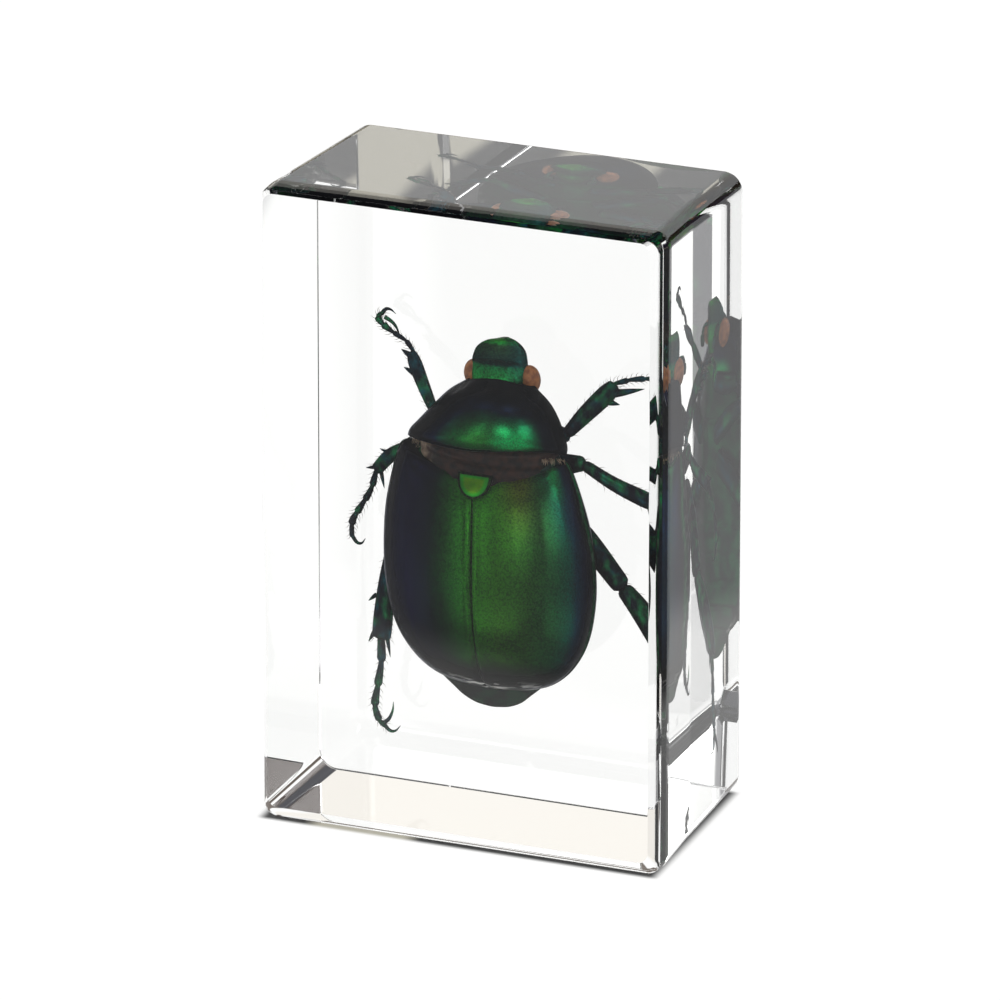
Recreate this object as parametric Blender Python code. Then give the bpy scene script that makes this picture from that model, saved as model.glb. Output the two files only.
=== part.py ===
"""A green chafer beetle sealed in a clear cast resin block, standing on its short end.

The block is one casting whose four sides taper from the large front face to the back (the
draft that lets it out of its mould), so it leans back by the draft angle when it stands on
its bottom face. It is parted into a front and a back half, each with its half of the
pocket that the beetle fills. The beetle is one dried specimen.

Shapes are described in the block's own frame, in millimetres: x to the right, y from the
front face to the back, z up, from the middle of the block. stand() sets them on the ground.
"""
import math

import bmesh
import bpy
import numpy as np
from mathutils import Matrix, Vector

MM = 0.001

# ---------------------------------------------------------------- driving dimensions (mm)
BLOCK_HEIGHT = 44.0        # front face, over its rounded edges
BLOCK_WIDTH = 28.4         # front face
BLOCK_DEPTH = 15.3         # square to the front face
DRAFT = math.radians(2.3)  # taper of each of the four sides towards the back
FRONT_RADIUS = 0.75        # edges of the front face
SIDE_RADIUS = 1.3          # the four edges that run from front to back
BACK_RADIUS = 0.5          # edges of the back face
EDGE_SEGMENTS = 3
PARTING_Y = 2.9            # depth of the parting face behind the middle of the block
PARTING_GAP = 0.3
CLEARANCE = 0.3            # pocket wall to beetle
SPARE = 0.25               # what the pocket's flat facets may take back from the clearance
MIDLINE_X = -0.25          # the beetle's own middle plane
SUTURE_GROOVE = 0.14       # depth of the groove between the wing cases
SUTURE_LAP = 0.12          # how far each wing case runs past the middle line
BASE_SAG = 0.6             # how far the wing cases' front edge hollows at the middle
WING_CASE_CURL = 0.35      # how far the side edge curls under

# Stations down the beetle: z, half width, y of the side edge, y of the back and, except for
# the wing cases, y of the belly.
TRUNK = (
    (6.3, 3.15, 2.6, 0.3, 4.4),
    (4.65, 4.45, 2.4, -0.7, 4.7),
    (3.2, 5.15, 2.3, -0.9, 4.9),
    (0.0, 6.5, 2.3, -1.5, 5.0),
    (-4.5, 6.9, 2.3, -2.0, 5.0),
    (-8.9, 6.1, 2.5, -0.7, 4.4),
    (-11.5, 4.35, 2.8, 0.9, 4.1),
    (-13.2, 2.45, 3.0, 2.2, 3.9),
    (-14.1, 1.1, 3.2, 2.8, 3.6),
)
WING_CASES = (
    (3.5, 4.85, 2.1, 0.1),
    (3.25, 5.65, 2.05, -1.3),
    (1.9, 6.45, 2.05, -2.3),
    (-1.05, 7.15, 2.1, -3.0),
    (-4.4, 7.4, 2.15, -3.25),
    (-7.0, 7.2, 2.15, -2.9),
    (-8.95, 6.7, 2.2, -2.1),
    (-10.55, 5.7, 2.4, -1.0),
    (-11.9, 4.25, 2.6, 0.5),
    (-12.8, 2.2, 2.8, 1.9),
)
PRONOTUM = (
    (4.25, 5.05, 2.5, -1.6, 4.3),
    (4.55, 5.4, 2.5, -2.1, 4.4),
    (5.3, 5.35, 2.5, -2.35, 4.5),
    (6.2, 4.85, 2.5, -2.1, 4.5),
    (7.25, 3.9, 2.6, -1.35, 4.45),
    (8.15, 2.95, 2.7, -0.1, 4.3),
    (8.8, 2.2, 2.9, 1.1, 4.1),
)
PRONOTUM_X = -0.22
PRONOTUM_LEAN = 0.13       # sideways drift of the pronotum's middle, mm for each mm up
HEAD = (
    (7.45, 1.7, 3.4, 1.8, 4.6),
    (8.6, 2.0, 3.3, 1.7, 4.7),
    (9.55, 1.85, 3.4, 2.2, 4.6),
    (9.95, 1.8, 3.55, 2.75, 4.6),
    (10.45, 1.75, 3.75, 2.95, 4.5),
    (10.9, 1.2, 3.95, 3.3, 4.45),
    (11.15, 0.5, 4.0, 3.6, 4.35),
)
HEAD_X = 0.22              # the head is turned a little to the right of the body's middle
EYES = ((-1.7, 3.35, 8.7), (2.25, 3.35, 8.7))
EYE_RADIUS = 0.8
SCUTELLUM_HALF_WIDTH = 1.2
SCUTELLUM_TOP_Z = 2.75
SCUTELLUM_LENGTH = 1.6
SCUTELLUM_TOP_Y = -1.65    # its raised face, at the front edge and at the tip
SCUTELLUM_TIP_Y = -2.6
SCUTELLUM_THICKNESS = 1.2
ANTENNAE = (
    (((-0.9, 3.6, 9.3), 0.14), ((-1.3, 4.4, 9.3), 0.14), ((-1.4, 4.7, 8.8), 0.2),
     ((-1.2, 4.8, 8.0), 0.3)),
    (((1.35, 3.6, 9.3), 0.14), ((1.7, 4.4, 9.3), 0.14), ((1.8, 4.7, 8.8), 0.2),
     ((1.6, 4.8, 8.0), 0.3)),
)

# Legs: each limb is a path of (x, y, z) points with a half width at each point.
# Teeth and spurs run from a root to a tip; claws are curved paths.
LEGS = {
    "front_left": {
        "femur": (((-0.8, 3.9, 5.55), 0.7), ((-2.75, 3.4, 5.4), 0.75), ((-4.5, 2.8, 5.7), 0.45)),
        "tibia": (((-4.3, 2.8, 5.7), 0.35), ((-5.15, 3.5, 7.1), 0.46), ((-6.0, 4.5, 8.35), 0.5),
                  ((-6.4, 4.95, 9.05), 0.32)),
        "tarsus": (((-6.25, 4.95, 9.1), 0.2), ((-6.75, 4.9, 9.75), 0.19), ((-7.6, 4.9, 10.2), 0.2),
                   ((-8.35, 4.95, 10.65), 0.26), ((-8.75, 5.1, 11.05), 0.24), ((-8.5, 5.1, 11.4), 0.13)),
        "teeth": (((-6.0, 4.1, 7.8), (-6.75, 4.2, 8.1), 0.2),
                  ((-6.4, 4.8, 8.8), (-7.1, 4.9, 9.15), 0.22)),
        "claws": (((-8.5, 5.1, 11.35), (-8.2, 5.1, 11.7), (-7.85, 5.1, 11.7), (-7.5, 5.1, 11.45)),
                  ((-8.3, 5.1, 11.15), (-7.75, 5.1, 10.85), (-7.4, 5.1, 10.4), (-7.2, 5.1, 9.75))),
    },
    "middle_left": {
        "femur": (((-1.55, 4.6, 1.8), 0.75), ((-3.95, 3.8, 2.4), 0.8), ((-6.05, 3.0, 3.1), 0.5)),
        "tibia": (((-5.85, 3.0, 3.1), 0.4), ((-7.4, 3.2, 2.15), 0.47), ((-8.55, 3.5, 0.85), 0.42)),
        "tarsus": (((-8.5, 3.5, 0.9), 0.24), ((-8.9, 3.5, -0.5), 0.24), ((-9.6, 3.5, -1.75), 0.24),
                   ((-10.2, 3.5, -2.85), 0.26), ((-10.25, 3.5, -3.95), 0.16)),
        "teeth": (((-8.55, 3.5, 1.1), (-9.25, 3.5, 0.95), 0.14),
                  ((-8.15, 3.5, 0.7), (-7.95, 3.5, -0.3), 0.14),
                  ((-7.5, 3.2, 2.25), (-8.2, 3.2, 2.5), 0.14)),
        "claws": (((-10.25, 3.5, -3.85), (-9.9, 3.5, -4.3), (-9.55, 3.5, -4.3), (-9.3, 3.5, -3.95)),),
    },
    "hind_left": {
        "femur": (((-1.75, 4.6, -1.6), 0.85), ((-5.0, 4.2, -3.0), 0.95), ((-7.5, 3.4, -4.4), 0.55)),
        "tibia": (((-7.4, 3.4, -4.3), 0.42), ((-7.8, 3.4, -6.8), 0.55), ((-8.05, 3.5, -9.2), 0.68),
                  ((-8.2, 3.5, -10.8), 0.66)),
        "tarsus": (((-8.2, 3.5, -10.6), 0.4), ((-8.2, 3.5, -12.35), 0.3), ((-8.45, 3.5, -14.05), 0.29),
                   ((-8.65, 3.5, -15.45), 0.29), ((-8.35, 3.5, -16.45), 0.25), ((-7.9, 3.5, -16.85), 0.15)),
        "teeth": (((-8.7, 3.5, -10.4), (-9.1, 3.5, -11.1), 0.16),
                  ((-7.8, 3.5, -10.5), (-7.55, 3.5, -12.0), 0.16),
                  ((-8.6, 3.5, -7.8), (-9.1, 3.5, -8.25), 0.14)),
        "claws": (((-8.05, 3.5, -16.65), (-7.65, 3.5, -16.25), (-7.4, 3.5, -15.65), (-7.35, 3.5, -15.05)),
                  ((-8.0, 3.5, -16.75), (-7.6, 3.5, -17.1), (-7.2, 3.5, -17.05), (-6.85, 3.5, -16.65))),
    },
    "front_right": {
        "femur": (((1.3, 4.2, 5.5), 0.7), ((3.35, 3.6, 5.2), 0.75), ((5.1, 2.8, 5.3), 0.45)),
        "tibia": (((4.9, 2.8, 5.3), 0.38), ((6.1, 3.3, 6.75), 0.56), ((7.45, 3.8, 8.25), 0.62),
                  ((8.05, 3.9, 9.0), 0.4)),
        "tarsus": (((7.95, 3.9, 9.0), 0.2), ((9.25, 3.7, 9.5), 0.2), ((10.7, 3.5, 9.8), 0.21),
                   ((11.7, 3.4, 9.9), 0.24), ((12.4, 3.3, 9.5), 0.18)),
        "teeth": (((7.55, 3.8, 7.75), (8.4, 3.8, 7.65), 0.24), ((8.05, 3.9, 8.35), (10.1, 3.9, 8.95), 0.26)),
        "claws": (((12.3, 3.3, 9.55), (12.7, 3.2, 9.4), (12.9, 3.2, 9.0), (12.8, 3.2, 8.5)),
                  ((12.25, 3.2, 9.4), (12.35, 3.0, 9.0), (12.3, 3.0, 8.5), (12.1, 3.0, 8.1))),
    },
    "middle_right": {
        "femur": (((1.8, 4.6, 1.8), 0.75), ((4.0, 3.8, 2.9), 0.8), ((6.25, 2.6, 3.6), 0.5)),
        "tibia": (((6.1, 2.6, 3.55), 0.4), ((8.2, 2.9, 2.4), 0.5), ((10.1, 3.3, 1.6), 0.58),
                  ((10.9, 3.4, 1.3), 0.5)),
        "tarsus": (((10.9, 3.4, 1.3), 0.26), ((11.65, 3.6, 0.05), 0.25), ((12.1, 3.7, -1.3), 0.25),
                   ((12.4, 3.7, -2.5), 0.26), ((12.2, 3.7, -3.4), 0.16)),
        "teeth": (((10.8, 3.4, 1.7), (11.6, 3.4, 1.8), 0.15),
                  ((10.6, 3.4, 1.0), (10.7, 3.4, -0.2), 0.15)),
        "claws": (((12.25, 3.7, -3.3), (12.0, 3.7, -3.8), (11.6, 3.7, -3.9), (11.3, 3.7, -3.6)),),
    },
    "hind_right": {
        "femur": (((2.2, 4.6, 0.4), 0.85), ((5.5, 3.9, -1.4), 0.85), ((9.0, 2.6, -4.6), 0.7)),
        "tibia": (((8.9, 2.6, -4.5), 0.55), ((10.1, 2.6, -6.4), 0.65), ((10.95, 3.1, -8.7), 0.68),
                  ((11.4, 3.7, -10.3), 0.6)),
        "tarsus": (((11.4, 3.7, -10.2), 0.32), ((11.55, 3.8, -12.2), 0.28), ((11.7, 3.8, -13.9), 0.27),
                   ((11.95, 3.8, -15.3), 0.27), ((12.15, 3.8, -16.3), 0.2)),
        "teeth": (((11.7, 3.7, -10.0), (12.3, 3.7, -10.7), 0.16),
                  ((11.0, 3.7, -10.1), (10.9, 3.7, -11.5), 0.16)),
        "claws": (((12.1, 3.7, -16.2), (12.25, 3.6, -16.8), (12.1, 3.5, -17.2), (11.75, 3.4, -17.3)),
                  ((12.15, 3.9, -16.2), (12.4, 4.0, -16.7), (12.5, 4.1, -17.2), (12.3, 4.2, -17.5))),
    },
}
LIMB_THICKNESS = {"femur": 0.8, "tibia": 0.75, "tarsus": 0.9}
CLAW_RADII = (0.14, 0.13, 0.1, 0.04)
TARSUS_JOINTS = 5          # foot segments, each a little waisted at its root
WAIST = 0.72               # half width at a foot joint, as a share of the segment's


def clear_scene():
    for item in list(bpy.data.objects):
        bpy.data.objects.remove(item, do_unlink=True)


def stand():
    """Block frame in millimetres to the standing frame in metres: tip the block back by its
    draft so that its bottom face is level, and rest it centred on the origin."""
    tip = Matrix.Rotation(-DRAFT, 4, "X")
    corners = [tip @ Vector(corner) for corner in block_corners()]
    low = min(corner.z for corner in corners)
    front = min(corner.y for corner in corners)
    back = max(corner.y for corner in corners)
    lift = Matrix.Translation((0.0, -0.5 * (front + back), -low))
    return Matrix.Scale(MM, 4) @ lift @ tip


def block_corners():
    """The eight sharp corners of the tapered block: the front four, then the back four."""
    corners = []
    for side in (-1, 1):
        y = side * BLOCK_DEPTH / 2
        inset = (y + BLOCK_DEPTH / 2) * math.tan(DRAFT)
        half_x = BLOCK_WIDTH / 2 - inset
        half_z = BLOCK_HEIGHT / 2 - inset
        corners += [(-half_x, y, -half_z), (half_x, y, -half_z), (half_x, y, half_z), (-half_x, y, half_z)]
    return corners


# ---------------------------------------------------------------- mesh helpers (millimetres)
def solid_from_rings(rings, pole_start=None, pole_end=None):
    """One closed bmesh from rings of equally many points, its ends closed flat or on a pole."""
    bm = bmesh.new()
    loops = [[bm.verts.new(point) for point in ring] for ring in rings]
    for lower, upper in zip(loops, loops[1:]):
        count = len(lower)
        for i in range(count):
            j = (i + 1) % count
            bm.faces.new((lower[i], lower[j], upper[j], upper[i]))
    for loop, pole in ((loops[0], pole_start), (loops[-1], pole_end)):
        if pole is None:
            bm.faces.new(loop)
            continue
        tip = bm.verts.new(pole)
        for i in range(len(loop)):
            bm.faces.new((loop[i], loop[(i + 1) % len(loop)], tip))
    bmesh.ops.recalc_face_normals(bm, faces=bm.faces)
    return bm


def to_object(bm, name):
    bmesh.ops.triangulate(bm, faces=[face for face in bm.faces if len(face.verts) > 4])
    mesh = bpy.data.meshes.new(name)
    bm.to_mesh(mesh)
    bm.free()
    item = bpy.data.objects.new(name, mesh)
    bpy.context.scene.collection.objects.link(item)
    return item


def combine(target, cutter, operation, solver="EXACT"):
    """Apply one Boolean to target and remove the cutter."""
    modifier = target.modifiers.new("cut", "BOOLEAN")
    modifier.operation = operation
    modifier.solver = solver
    modifier.object = cutter
    graph = bpy.context.evaluated_depsgraph_get()
    mesh = bpy.data.meshes.new_from_object(target.evaluated_get(graph))
    target.modifiers.clear()
    old = target.data
    target.data = mesh
    bpy.data.meshes.remove(old)
    bpy.data.objects.remove(cutter, do_unlink=True)


def smooth_rows(rows, count):
    """Resample a table of stations to count rows along a Catmull-Rom curve."""
    table = np.array(rows, dtype=float)
    padded = np.vstack((2 * table[0] - table[1], table, 2 * table[-1] - table[-2]))
    place = np.linspace(0.0, len(table) - 1.000001, count)
    k = place.astype(int)
    t = (place - k)[:, None]
    p0, p1, p2, p3 = padded[k], padded[k + 1], padded[k + 2], padded[k + 3]
    curve = p1 + 0.5 * t * (p2 - p0 + t * (2 * p0 - 5 * p1 + 4 * p2 - p3 + t * (3 * (p1 - p2) + p3 - p0)))
    return curve


# ---------------------------------------------------------------- the beetle's trunk
def body_section(row, middle, sides, grow=0.0):
    """A closed cross-section: a round back over the side edge, a keeled belly under it."""
    z, half, edge, back, belly = row
    angles = 2 * math.pi * np.arange(sides) / sides
    across = np.cos(angles)
    rise = np.sin(angles)
    x = middle + (half + grow) * across
    over = edge - (edge - back + grow) * np.abs(rise)
    under = edge + (belly + grow - edge) * (1.0 - np.abs(across) ** 1.5)
    y = np.where(rise >= 0, over, under)
    return [(float(a), float(b), float(z)) for a, b in zip(x, y)]


def body_loft(rows, count, sides, middle=MIDLINE_X, lean=0.0, grow=0.0):
    table = smooth_rows(rows, count)
    start_z = table[0, 0]
    rings = []
    for row in table:
        ring = body_section(row, middle + lean * (row[0] - start_z), sides, grow)
        rings.append(ring)
    if grow:
        up = math.copysign(grow, table[0, 0] - table[-1, 0])
        rings[0] = [(x, y, z + up) for x, y, z in rings[0]]
        rings[-1] = [(x, y, z - up) for x, y, z in rings[-1]]
    return solid_from_rings(rings)


def wing_case(side, count=13, steps=8):
    """One wing case: half a dome from the groove on the middle line to the side edge."""
    angles = np.linspace(0.0, math.pi / 2, steps)
    rings = []
    for z, half, edge, back in smooth_rows(WING_CASES, count):
        x = half * np.sin(angles)
        y = edge - (edge - back) * np.cos(angles) ** 0.92
        y[0] += SUTURE_GROOVE
        drop = BASE_SAG * np.cos(angles) ** 2 * max(0.0, (z + 2.0) / 5.6)
        dome = [(MIDLINE_X + side * a, b, z - c) for a, b, c in zip(x, y, drop)]
        inner = [(MIDLINE_X + side * half * 0.86, edge + WING_CASE_CURL, z),
                 (MIDLINE_X - side * SUTURE_LAP, edge + WING_CASE_CURL, z - drop[0])]
        ridge = (MIDLINE_X - side * SUTURE_LAP, float(y[0]), z - drop[0])
        rings.append([ridge] + dome + inner)
    return solid_from_rings(rings)


def scutellum():
    """A raised half disc between the wing cases' inner corners."""
    face = []
    for angle in np.linspace(0.0, math.pi, 9):
        x = MIDLINE_X + SCUTELLUM_HALF_WIDTH * math.cos(angle)
        down = math.sin(angle) ** 0.8
        y = SCUTELLUM_TOP_Y + (SCUTELLUM_TIP_Y - SCUTELLUM_TOP_Y) * down
        face.append((x, y, SCUTELLUM_TOP_Z - SCUTELLUM_LENGTH * down))
    root = [(x, y + SCUTELLUM_THICKNESS, z) for x, y, z in face]
    return solid_from_rings([face, root])


def ball(centre, radius):
    bm = bmesh.new()
    bmesh.ops.create_icosphere(bm, subdivisions=2, radius=radius)
    bmesh.ops.translate(bm, verts=bm.verts, vec=centre)
    return bm


# ---------------------------------------------------------------- limbs
def tube(points, half_widths, thickness, sides):
    """A flattened round tube along a path; its width lies square to the depth axis."""
    path = np.array(points, dtype=float)
    ahead = np.gradient(path, axis=0)
    ahead /= np.linalg.norm(ahead, axis=1)[:, None]
    depth = np.array((0.0, 1.0, 0.0))
    rings = []
    for point, direction, half in zip(path, ahead, half_widths):
        across = np.cross(direction, depth)
        across /= np.linalg.norm(across)
        out = np.cross(across, direction)
        ring = []
        for i in range(sides):
            angle = 2 * math.pi * (i + 0.5) / sides
            offset = across * half * math.cos(angle)
            offset = offset + out * half * thickness * math.sin(angle)
            ring.append(tuple(point + offset))
        rings.append(ring)
    first = tuple(path[0] - ahead[0] * half_widths[0] * 0.6)
    last = tuple(path[-1] + ahead[-1] * half_widths[-1] * 0.6)
    return solid_from_rings(rings, first, last)


def limb(nodes, thickness, count, sides):
    rows = smooth_rows([(*point, half) for point, half in nodes], count)
    return tube(rows[:, :3], rows[:, 3], thickness, sides)


def foot(nodes):
    """The foot: its half width dips at each joint between its segments."""
    rows = smooth_rows([(*point, half) for point, half in nodes], 2 * TARSUS_JOINTS + 1)
    half = rows[:, 3].copy()
    half[2:-1:2] *= WAIST
    return tube(rows[:, :3], half, LIMB_THICKNESS["tarsus"], 6)


def tooth(root, tip, radius):
    direction = Vector(tip) - Vector(root)
    start = Vector(root) - direction * 0.15
    middle = Vector(root) + direction * 0.5
    return tube([tuple(start), tuple(middle), tuple(Vector(root) + direction * 0.9)],
                [radius, radius * 0.7, radius * 0.25], 1.0, 5)


def beetle_pieces():
    """Every form of the beetle as a closed mesh; each overlaps the one it grows from."""
    yield body_loft(TRUNK, 14, 16)
    yield wing_case(-1)
    yield wing_case(1)
    yield body_loft(PRONOTUM, 10, 20, PRONOTUM_X, PRONOTUM_LEAN)
    yield body_loft(HEAD, 9, 14, HEAD_X)
    yield scutellum()
    for centre in EYES:
        yield ball(centre, EYE_RADIUS)
    for nodes in ANTENNAE:
        yield limb(nodes, 1.0, 7, 6)
    for leg in LEGS.values():
        yield limb(leg["femur"], LIMB_THICKNESS["femur"], 6, 8)
        yield limb(leg["tibia"], LIMB_THICKNESS["tibia"], 7, 8)
        yield foot(leg["tarsus"])
        for root, tip, radius in leg["teeth"]:
            yield tooth(root, tip, radius)
        for path in leg["claws"]:
            yield tube(path, CLAW_RADII, 1.0, 5)


def build_beetle():
    pieces = beetle_pieces()
    beetle = to_object(next(pieces), "beetle")
    for number, piece in enumerate(pieces):
        combine(beetle, to_object(piece, f"form_{number}"), "UNION")
    return beetle


# ---------------------------------------------------------------- the pocket and the block
def bead_directions():
    """Twelve even directions, the corners of an icosahedron."""
    golden = (1 + math.sqrt(5)) / 2
    corners = []
    for one in (-1, 1):
        for two in (-golden, golden):
            corners += [(0, one, two), (one, two, 0), (two, 0, one)]
    return [Vector(corner).normalized() for corner in corners]


def hull(nodes):
    """The convex hull of a bead round each (point, radius) node."""
    bm = bmesh.new()
    for point, radius in nodes:
        for direction in bead_directions():
            bm.verts.new(Vector(point) + direction * radius)
    bmesh.ops.convex_hull(bm, input=bm.verts)
    bmesh.ops.delete(bm, geom=[vert for vert in bm.verts if not vert.link_faces], context="VERTS")
    bmesh.ops.recalc_face_normals(bm, faces=bm.faces)
    return bm


def hull_rows():
    """Stations that take in the trunk and the wing cases together."""
    cases = np.array(WING_CASES[1:9])
    trunk = np.array(TRUNK)
    belly = np.interp(-cases[:, 0], -trunk[:, 0], trunk[:, 4])
    return np.vstack((trunk[:1], np.column_stack((cases, belly)), trunk[-2:]))


def widened(nodes, extra):
    return [(point, half + extra) for point, half in nodes]


def pocket_pieces():
    """The room that the beetle fills, a clearance larger all round and plainer."""
    yield body_loft(hull_rows(), 10, 16, grow=CLEARANCE + SPARE)
    yield body_loft(PRONOTUM, 5, 16, PRONOTUM_X, PRONOTUM_LEAN, CLEARANCE + SPARE)
    face = [((HEAD_X + side * half * 0.8, (back + belly) / 2, z), (belly - back) / 2)
            for z, half, edge, back, belly in HEAD for side in (-1, 1)]
    face += [(centre, EYE_RADIUS) for centre in EYES]
    face += [node for nodes in ANTENNAE for node in nodes]
    yield hull(widened(face, CLEARANCE + SPARE))
    for leg in LEGS.values():
        shin = list(leg["tibia"]) + [(tip, 0.05) for root, tip, radius in leg["teeth"]]
        toes = list(leg["tarsus"]) + [(path[k], CLAW_RADII[k]) for path in leg["claws"] for k in (1, 3)]
        yield hull(widened(leg["femur"], CLEARANCE + SPARE))
        yield hull(widened(shin, CLEARANCE + SPARE))
        yield hull(widened(toes, CLEARANCE + SPARE))


def build_pocket():
    pieces = pocket_pieces()
    pocket = to_object(next(pieces), "pocket")
    for number, piece in enumerate(pieces):
        combine(pocket, to_object(piece, f"room_{number}"), "UNION", "MANIFOLD")
    return pocket


def faces_y(edge):
    """The depth of both ends of an edge."""
    return [vert.co.y for vert in edge.verts]


def block_body():
    """The tapered block: the four edges from front to back are rounded, then each face's rim."""
    bm = bmesh.new()
    verts = [bm.verts.new(corner) for corner in block_corners()]
    for face in ((0, 1, 2, 3), (7, 6, 5, 4), (0, 4, 5, 1), (1, 5, 6, 2), (2, 6, 7, 3), (3, 7, 4, 0)):
        bm.faces.new([verts[i] for i in face])
    bmesh.ops.recalc_face_normals(bm, faces=bm.faces)
    side_edges = [edge for edge in bm.edges if abs(faces_y(edge)[0] - faces_y(edge)[1]) > 1.0]
    bmesh.ops.bevel(bm, geom=side_edges, offset=SIDE_RADIUS, segments=EDGE_SEGMENTS, profile=0.5,
                    affect="EDGES")
    for side, radius in ((-1, FRONT_RADIUS), (1, BACK_RADIUS)):
        rim = [edge for edge in bm.edges
               if all(abs(y - side * BLOCK_DEPTH / 2) < 0.001 for y in faces_y(edge))]
        bmesh.ops.bevel(bm, geom=rim, offset=radius, segments=EDGE_SEGMENTS, profile=0.5,
                        affect="EDGES")
    return bm


def build_half(name, side):
    """One half of the block: side -1 keeps what is in front of the parting face, +1 behind."""
    bm = block_body()
    cut_y = PARTING_Y + side * PARTING_GAP / 2
    geometry = list(bm.verts) + list(bm.edges) + list(bm.faces)
    bmesh.ops.bisect_plane(bm, geom=geometry, plane_co=(0, cut_y, 0), plane_no=(0, -side, 0),
                           clear_outer=True)
    bmesh.ops.holes_fill(bm, edges=[edge for edge in bm.edges if edge.is_boundary], sides=0)
    bmesh.ops.recalc_face_normals(bm, faces=bm.faces)
    half = to_object(bm, name)
    combine(half, build_pocket(), "DIFFERENCE", "MANIFOLD")
    return half


# ---------------------------------------------------------------- finishes
def finish(name, colour, roughness, metallic=0.0, transmission=0.0, ior=1.5):
    material = bpy.data.materials.new(name)
    material.use_nodes = True
    shader = material.node_tree.nodes["Principled BSDF"]
    shader.inputs["Base Color"].default_value = (*colour, 1.0)
    shader.inputs["Roughness"].default_value = roughness
    shader.inputs["Metallic"].default_value = metallic
    shader.inputs["Transmission Weight"].default_value = transmission
    shader.inputs["IOR"].default_value = ior
    material.diffuse_color = (*colour, 1.0 - 0.6 * transmission)
    return material


def settle(item, material):
    """Bring a finished solid from the block's frame to the standing frame in metres."""
    item.data.transform(stand())
    item.data.materials.clear()
    item.data.materials.append(material)
    item.data.shade_smooth()
    item.data.set_sharp_from_angle(angle=math.radians(35))


def main():
    clear_scene()
    for name, side in (("resin_front", -1), ("resin_back", 1)):
        settle(build_half(name, side), finish("clear_" + name, (0.97, 0.98, 0.97), 0.03, 0.0, 1.0, 1.56))
    settle(build_beetle(), finish("green_shell", (0.03, 0.16, 0.04), 0.28, 0.6))


main()
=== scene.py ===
# %% [markdown]
# # A green chafer in a clear resin block
#
# This lesson builds a small specimen block: a scarab beetle, dried and cast into clear resin.
# The solid model gives three plain solids, two halves of resin and one simple beetle. Here the
# two halves become one clear casting with softly rounded edges, and the beetle gets its real
# plates, joints, claws and hairs. Each new surface is a formula on a grid of two parameters,
# worked out with numpy as whole arrays.

# %% Load the fixed frame
import math

import bpy
import numpy as np
from mathutils import Matrix


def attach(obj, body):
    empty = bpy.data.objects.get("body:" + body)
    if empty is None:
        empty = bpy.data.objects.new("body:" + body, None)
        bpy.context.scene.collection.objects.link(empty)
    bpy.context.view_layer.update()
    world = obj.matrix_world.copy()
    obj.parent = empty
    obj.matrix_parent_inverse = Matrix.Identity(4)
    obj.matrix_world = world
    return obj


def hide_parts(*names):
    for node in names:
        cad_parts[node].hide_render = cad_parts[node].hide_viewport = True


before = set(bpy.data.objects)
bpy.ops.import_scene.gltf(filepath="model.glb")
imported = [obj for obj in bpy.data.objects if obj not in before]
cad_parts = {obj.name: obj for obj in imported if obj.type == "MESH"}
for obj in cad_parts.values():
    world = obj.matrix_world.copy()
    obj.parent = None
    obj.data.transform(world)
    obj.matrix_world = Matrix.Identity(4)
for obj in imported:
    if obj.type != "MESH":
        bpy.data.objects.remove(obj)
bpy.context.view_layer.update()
print("solids:", sorted(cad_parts))

# %% [markdown]
# ## The block's own frame
#
# It is easiest to describe the casting and the insect as they lay in the mould, in
# millimetres: x to the right, y from the large front face to the back, z up, from the middle
# of the block. The mould's sides taper by a little over two degrees, so that the casting drops out.
# When the block stands on its short end it leans back by that angle. One helper turns every
# finished grid from the mould's frame to the ground's frame in metres.

# %% The mould's frame and the ground
HEIGHT, WIDTH, DEPTH = 44.0, 28.4, 15.3
DRAFT = math.radians(2.3)


def lean(points):
    """Turn by the draft about x, so that the bottom face is level: y and z mix by its sine."""
    x, y, z = np.moveaxis(np.asarray(points, float), -1, 0)
    c, s = math.cos(DRAFT), math.sin(DRAFT)
    return np.stack((x, c * y + s * z, c * z - s * y), axis=-1)


def sharp_corners():
    """The tapered block's eight corners: each half size shrinks by depth times tan(draft)."""
    side = np.array([[a, b, c] for a in (-1, 1) for b in (-1, 1) for c in (-1, 1)], float)
    inset = (side[:, 1] + 1) / 2 * DEPTH * math.tan(DRAFT)
    return np.stack((side[:, 0] * (WIDTH / 2 - inset), side[:, 1] * DEPTH / 2,
                     side[:, 2] * (HEIGHT / 2 - inset)), axis=-1)


leant = lean(sharp_corners())
SHIFT = np.array((0.0, -(leant[:, 1].min() + leant[:, 1].max()) / 2, -leant[:, 2].min()))


def on_ground(points):
    """Millimetres in the mould's frame to metres on the ground."""
    return (lean(points) + SHIFT) * 0.001


print("block corners on the ground (mm):", np.round(on_ground(sharp_corners()) * 1000, 1).tolist())

# %% [markdown]
# ## The camera
#
# The viewpoint is high on the right, three quarters of a metre away. A long lens keeps the
# edges nearly parallel. The camera is placed first, because a clear block shows different
# things from every side, so every later step is judged from here.

# %% Camera
AZIMUTH, ELEVATION, TURN = math.radians(22.4375), math.radians(20.3667), math.radians(0.0033)
LENS_MM, DISTANCE_MM = 421.98, 758.38
OFF_RIGHT_MM, OFF_UP_MM = 0.2779, 0.3365

back = np.array((math.sin(AZIMUTH) * math.cos(ELEVATION), -math.cos(AZIMUTH) * math.cos(ELEVATION),
                 math.sin(ELEVATION)))
level = np.array((math.cos(AZIMUTH), math.sin(AZIMUTH), 0.0))
rise = np.cross(back, level)
right = math.cos(TURN) * level + math.sin(TURN) * rise
up = math.cos(TURN) * rise - math.sin(TURN) * level
eye = back * DISTANCE_MM - right * OFF_RIGHT_MM - up * OFF_UP_MM

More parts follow.
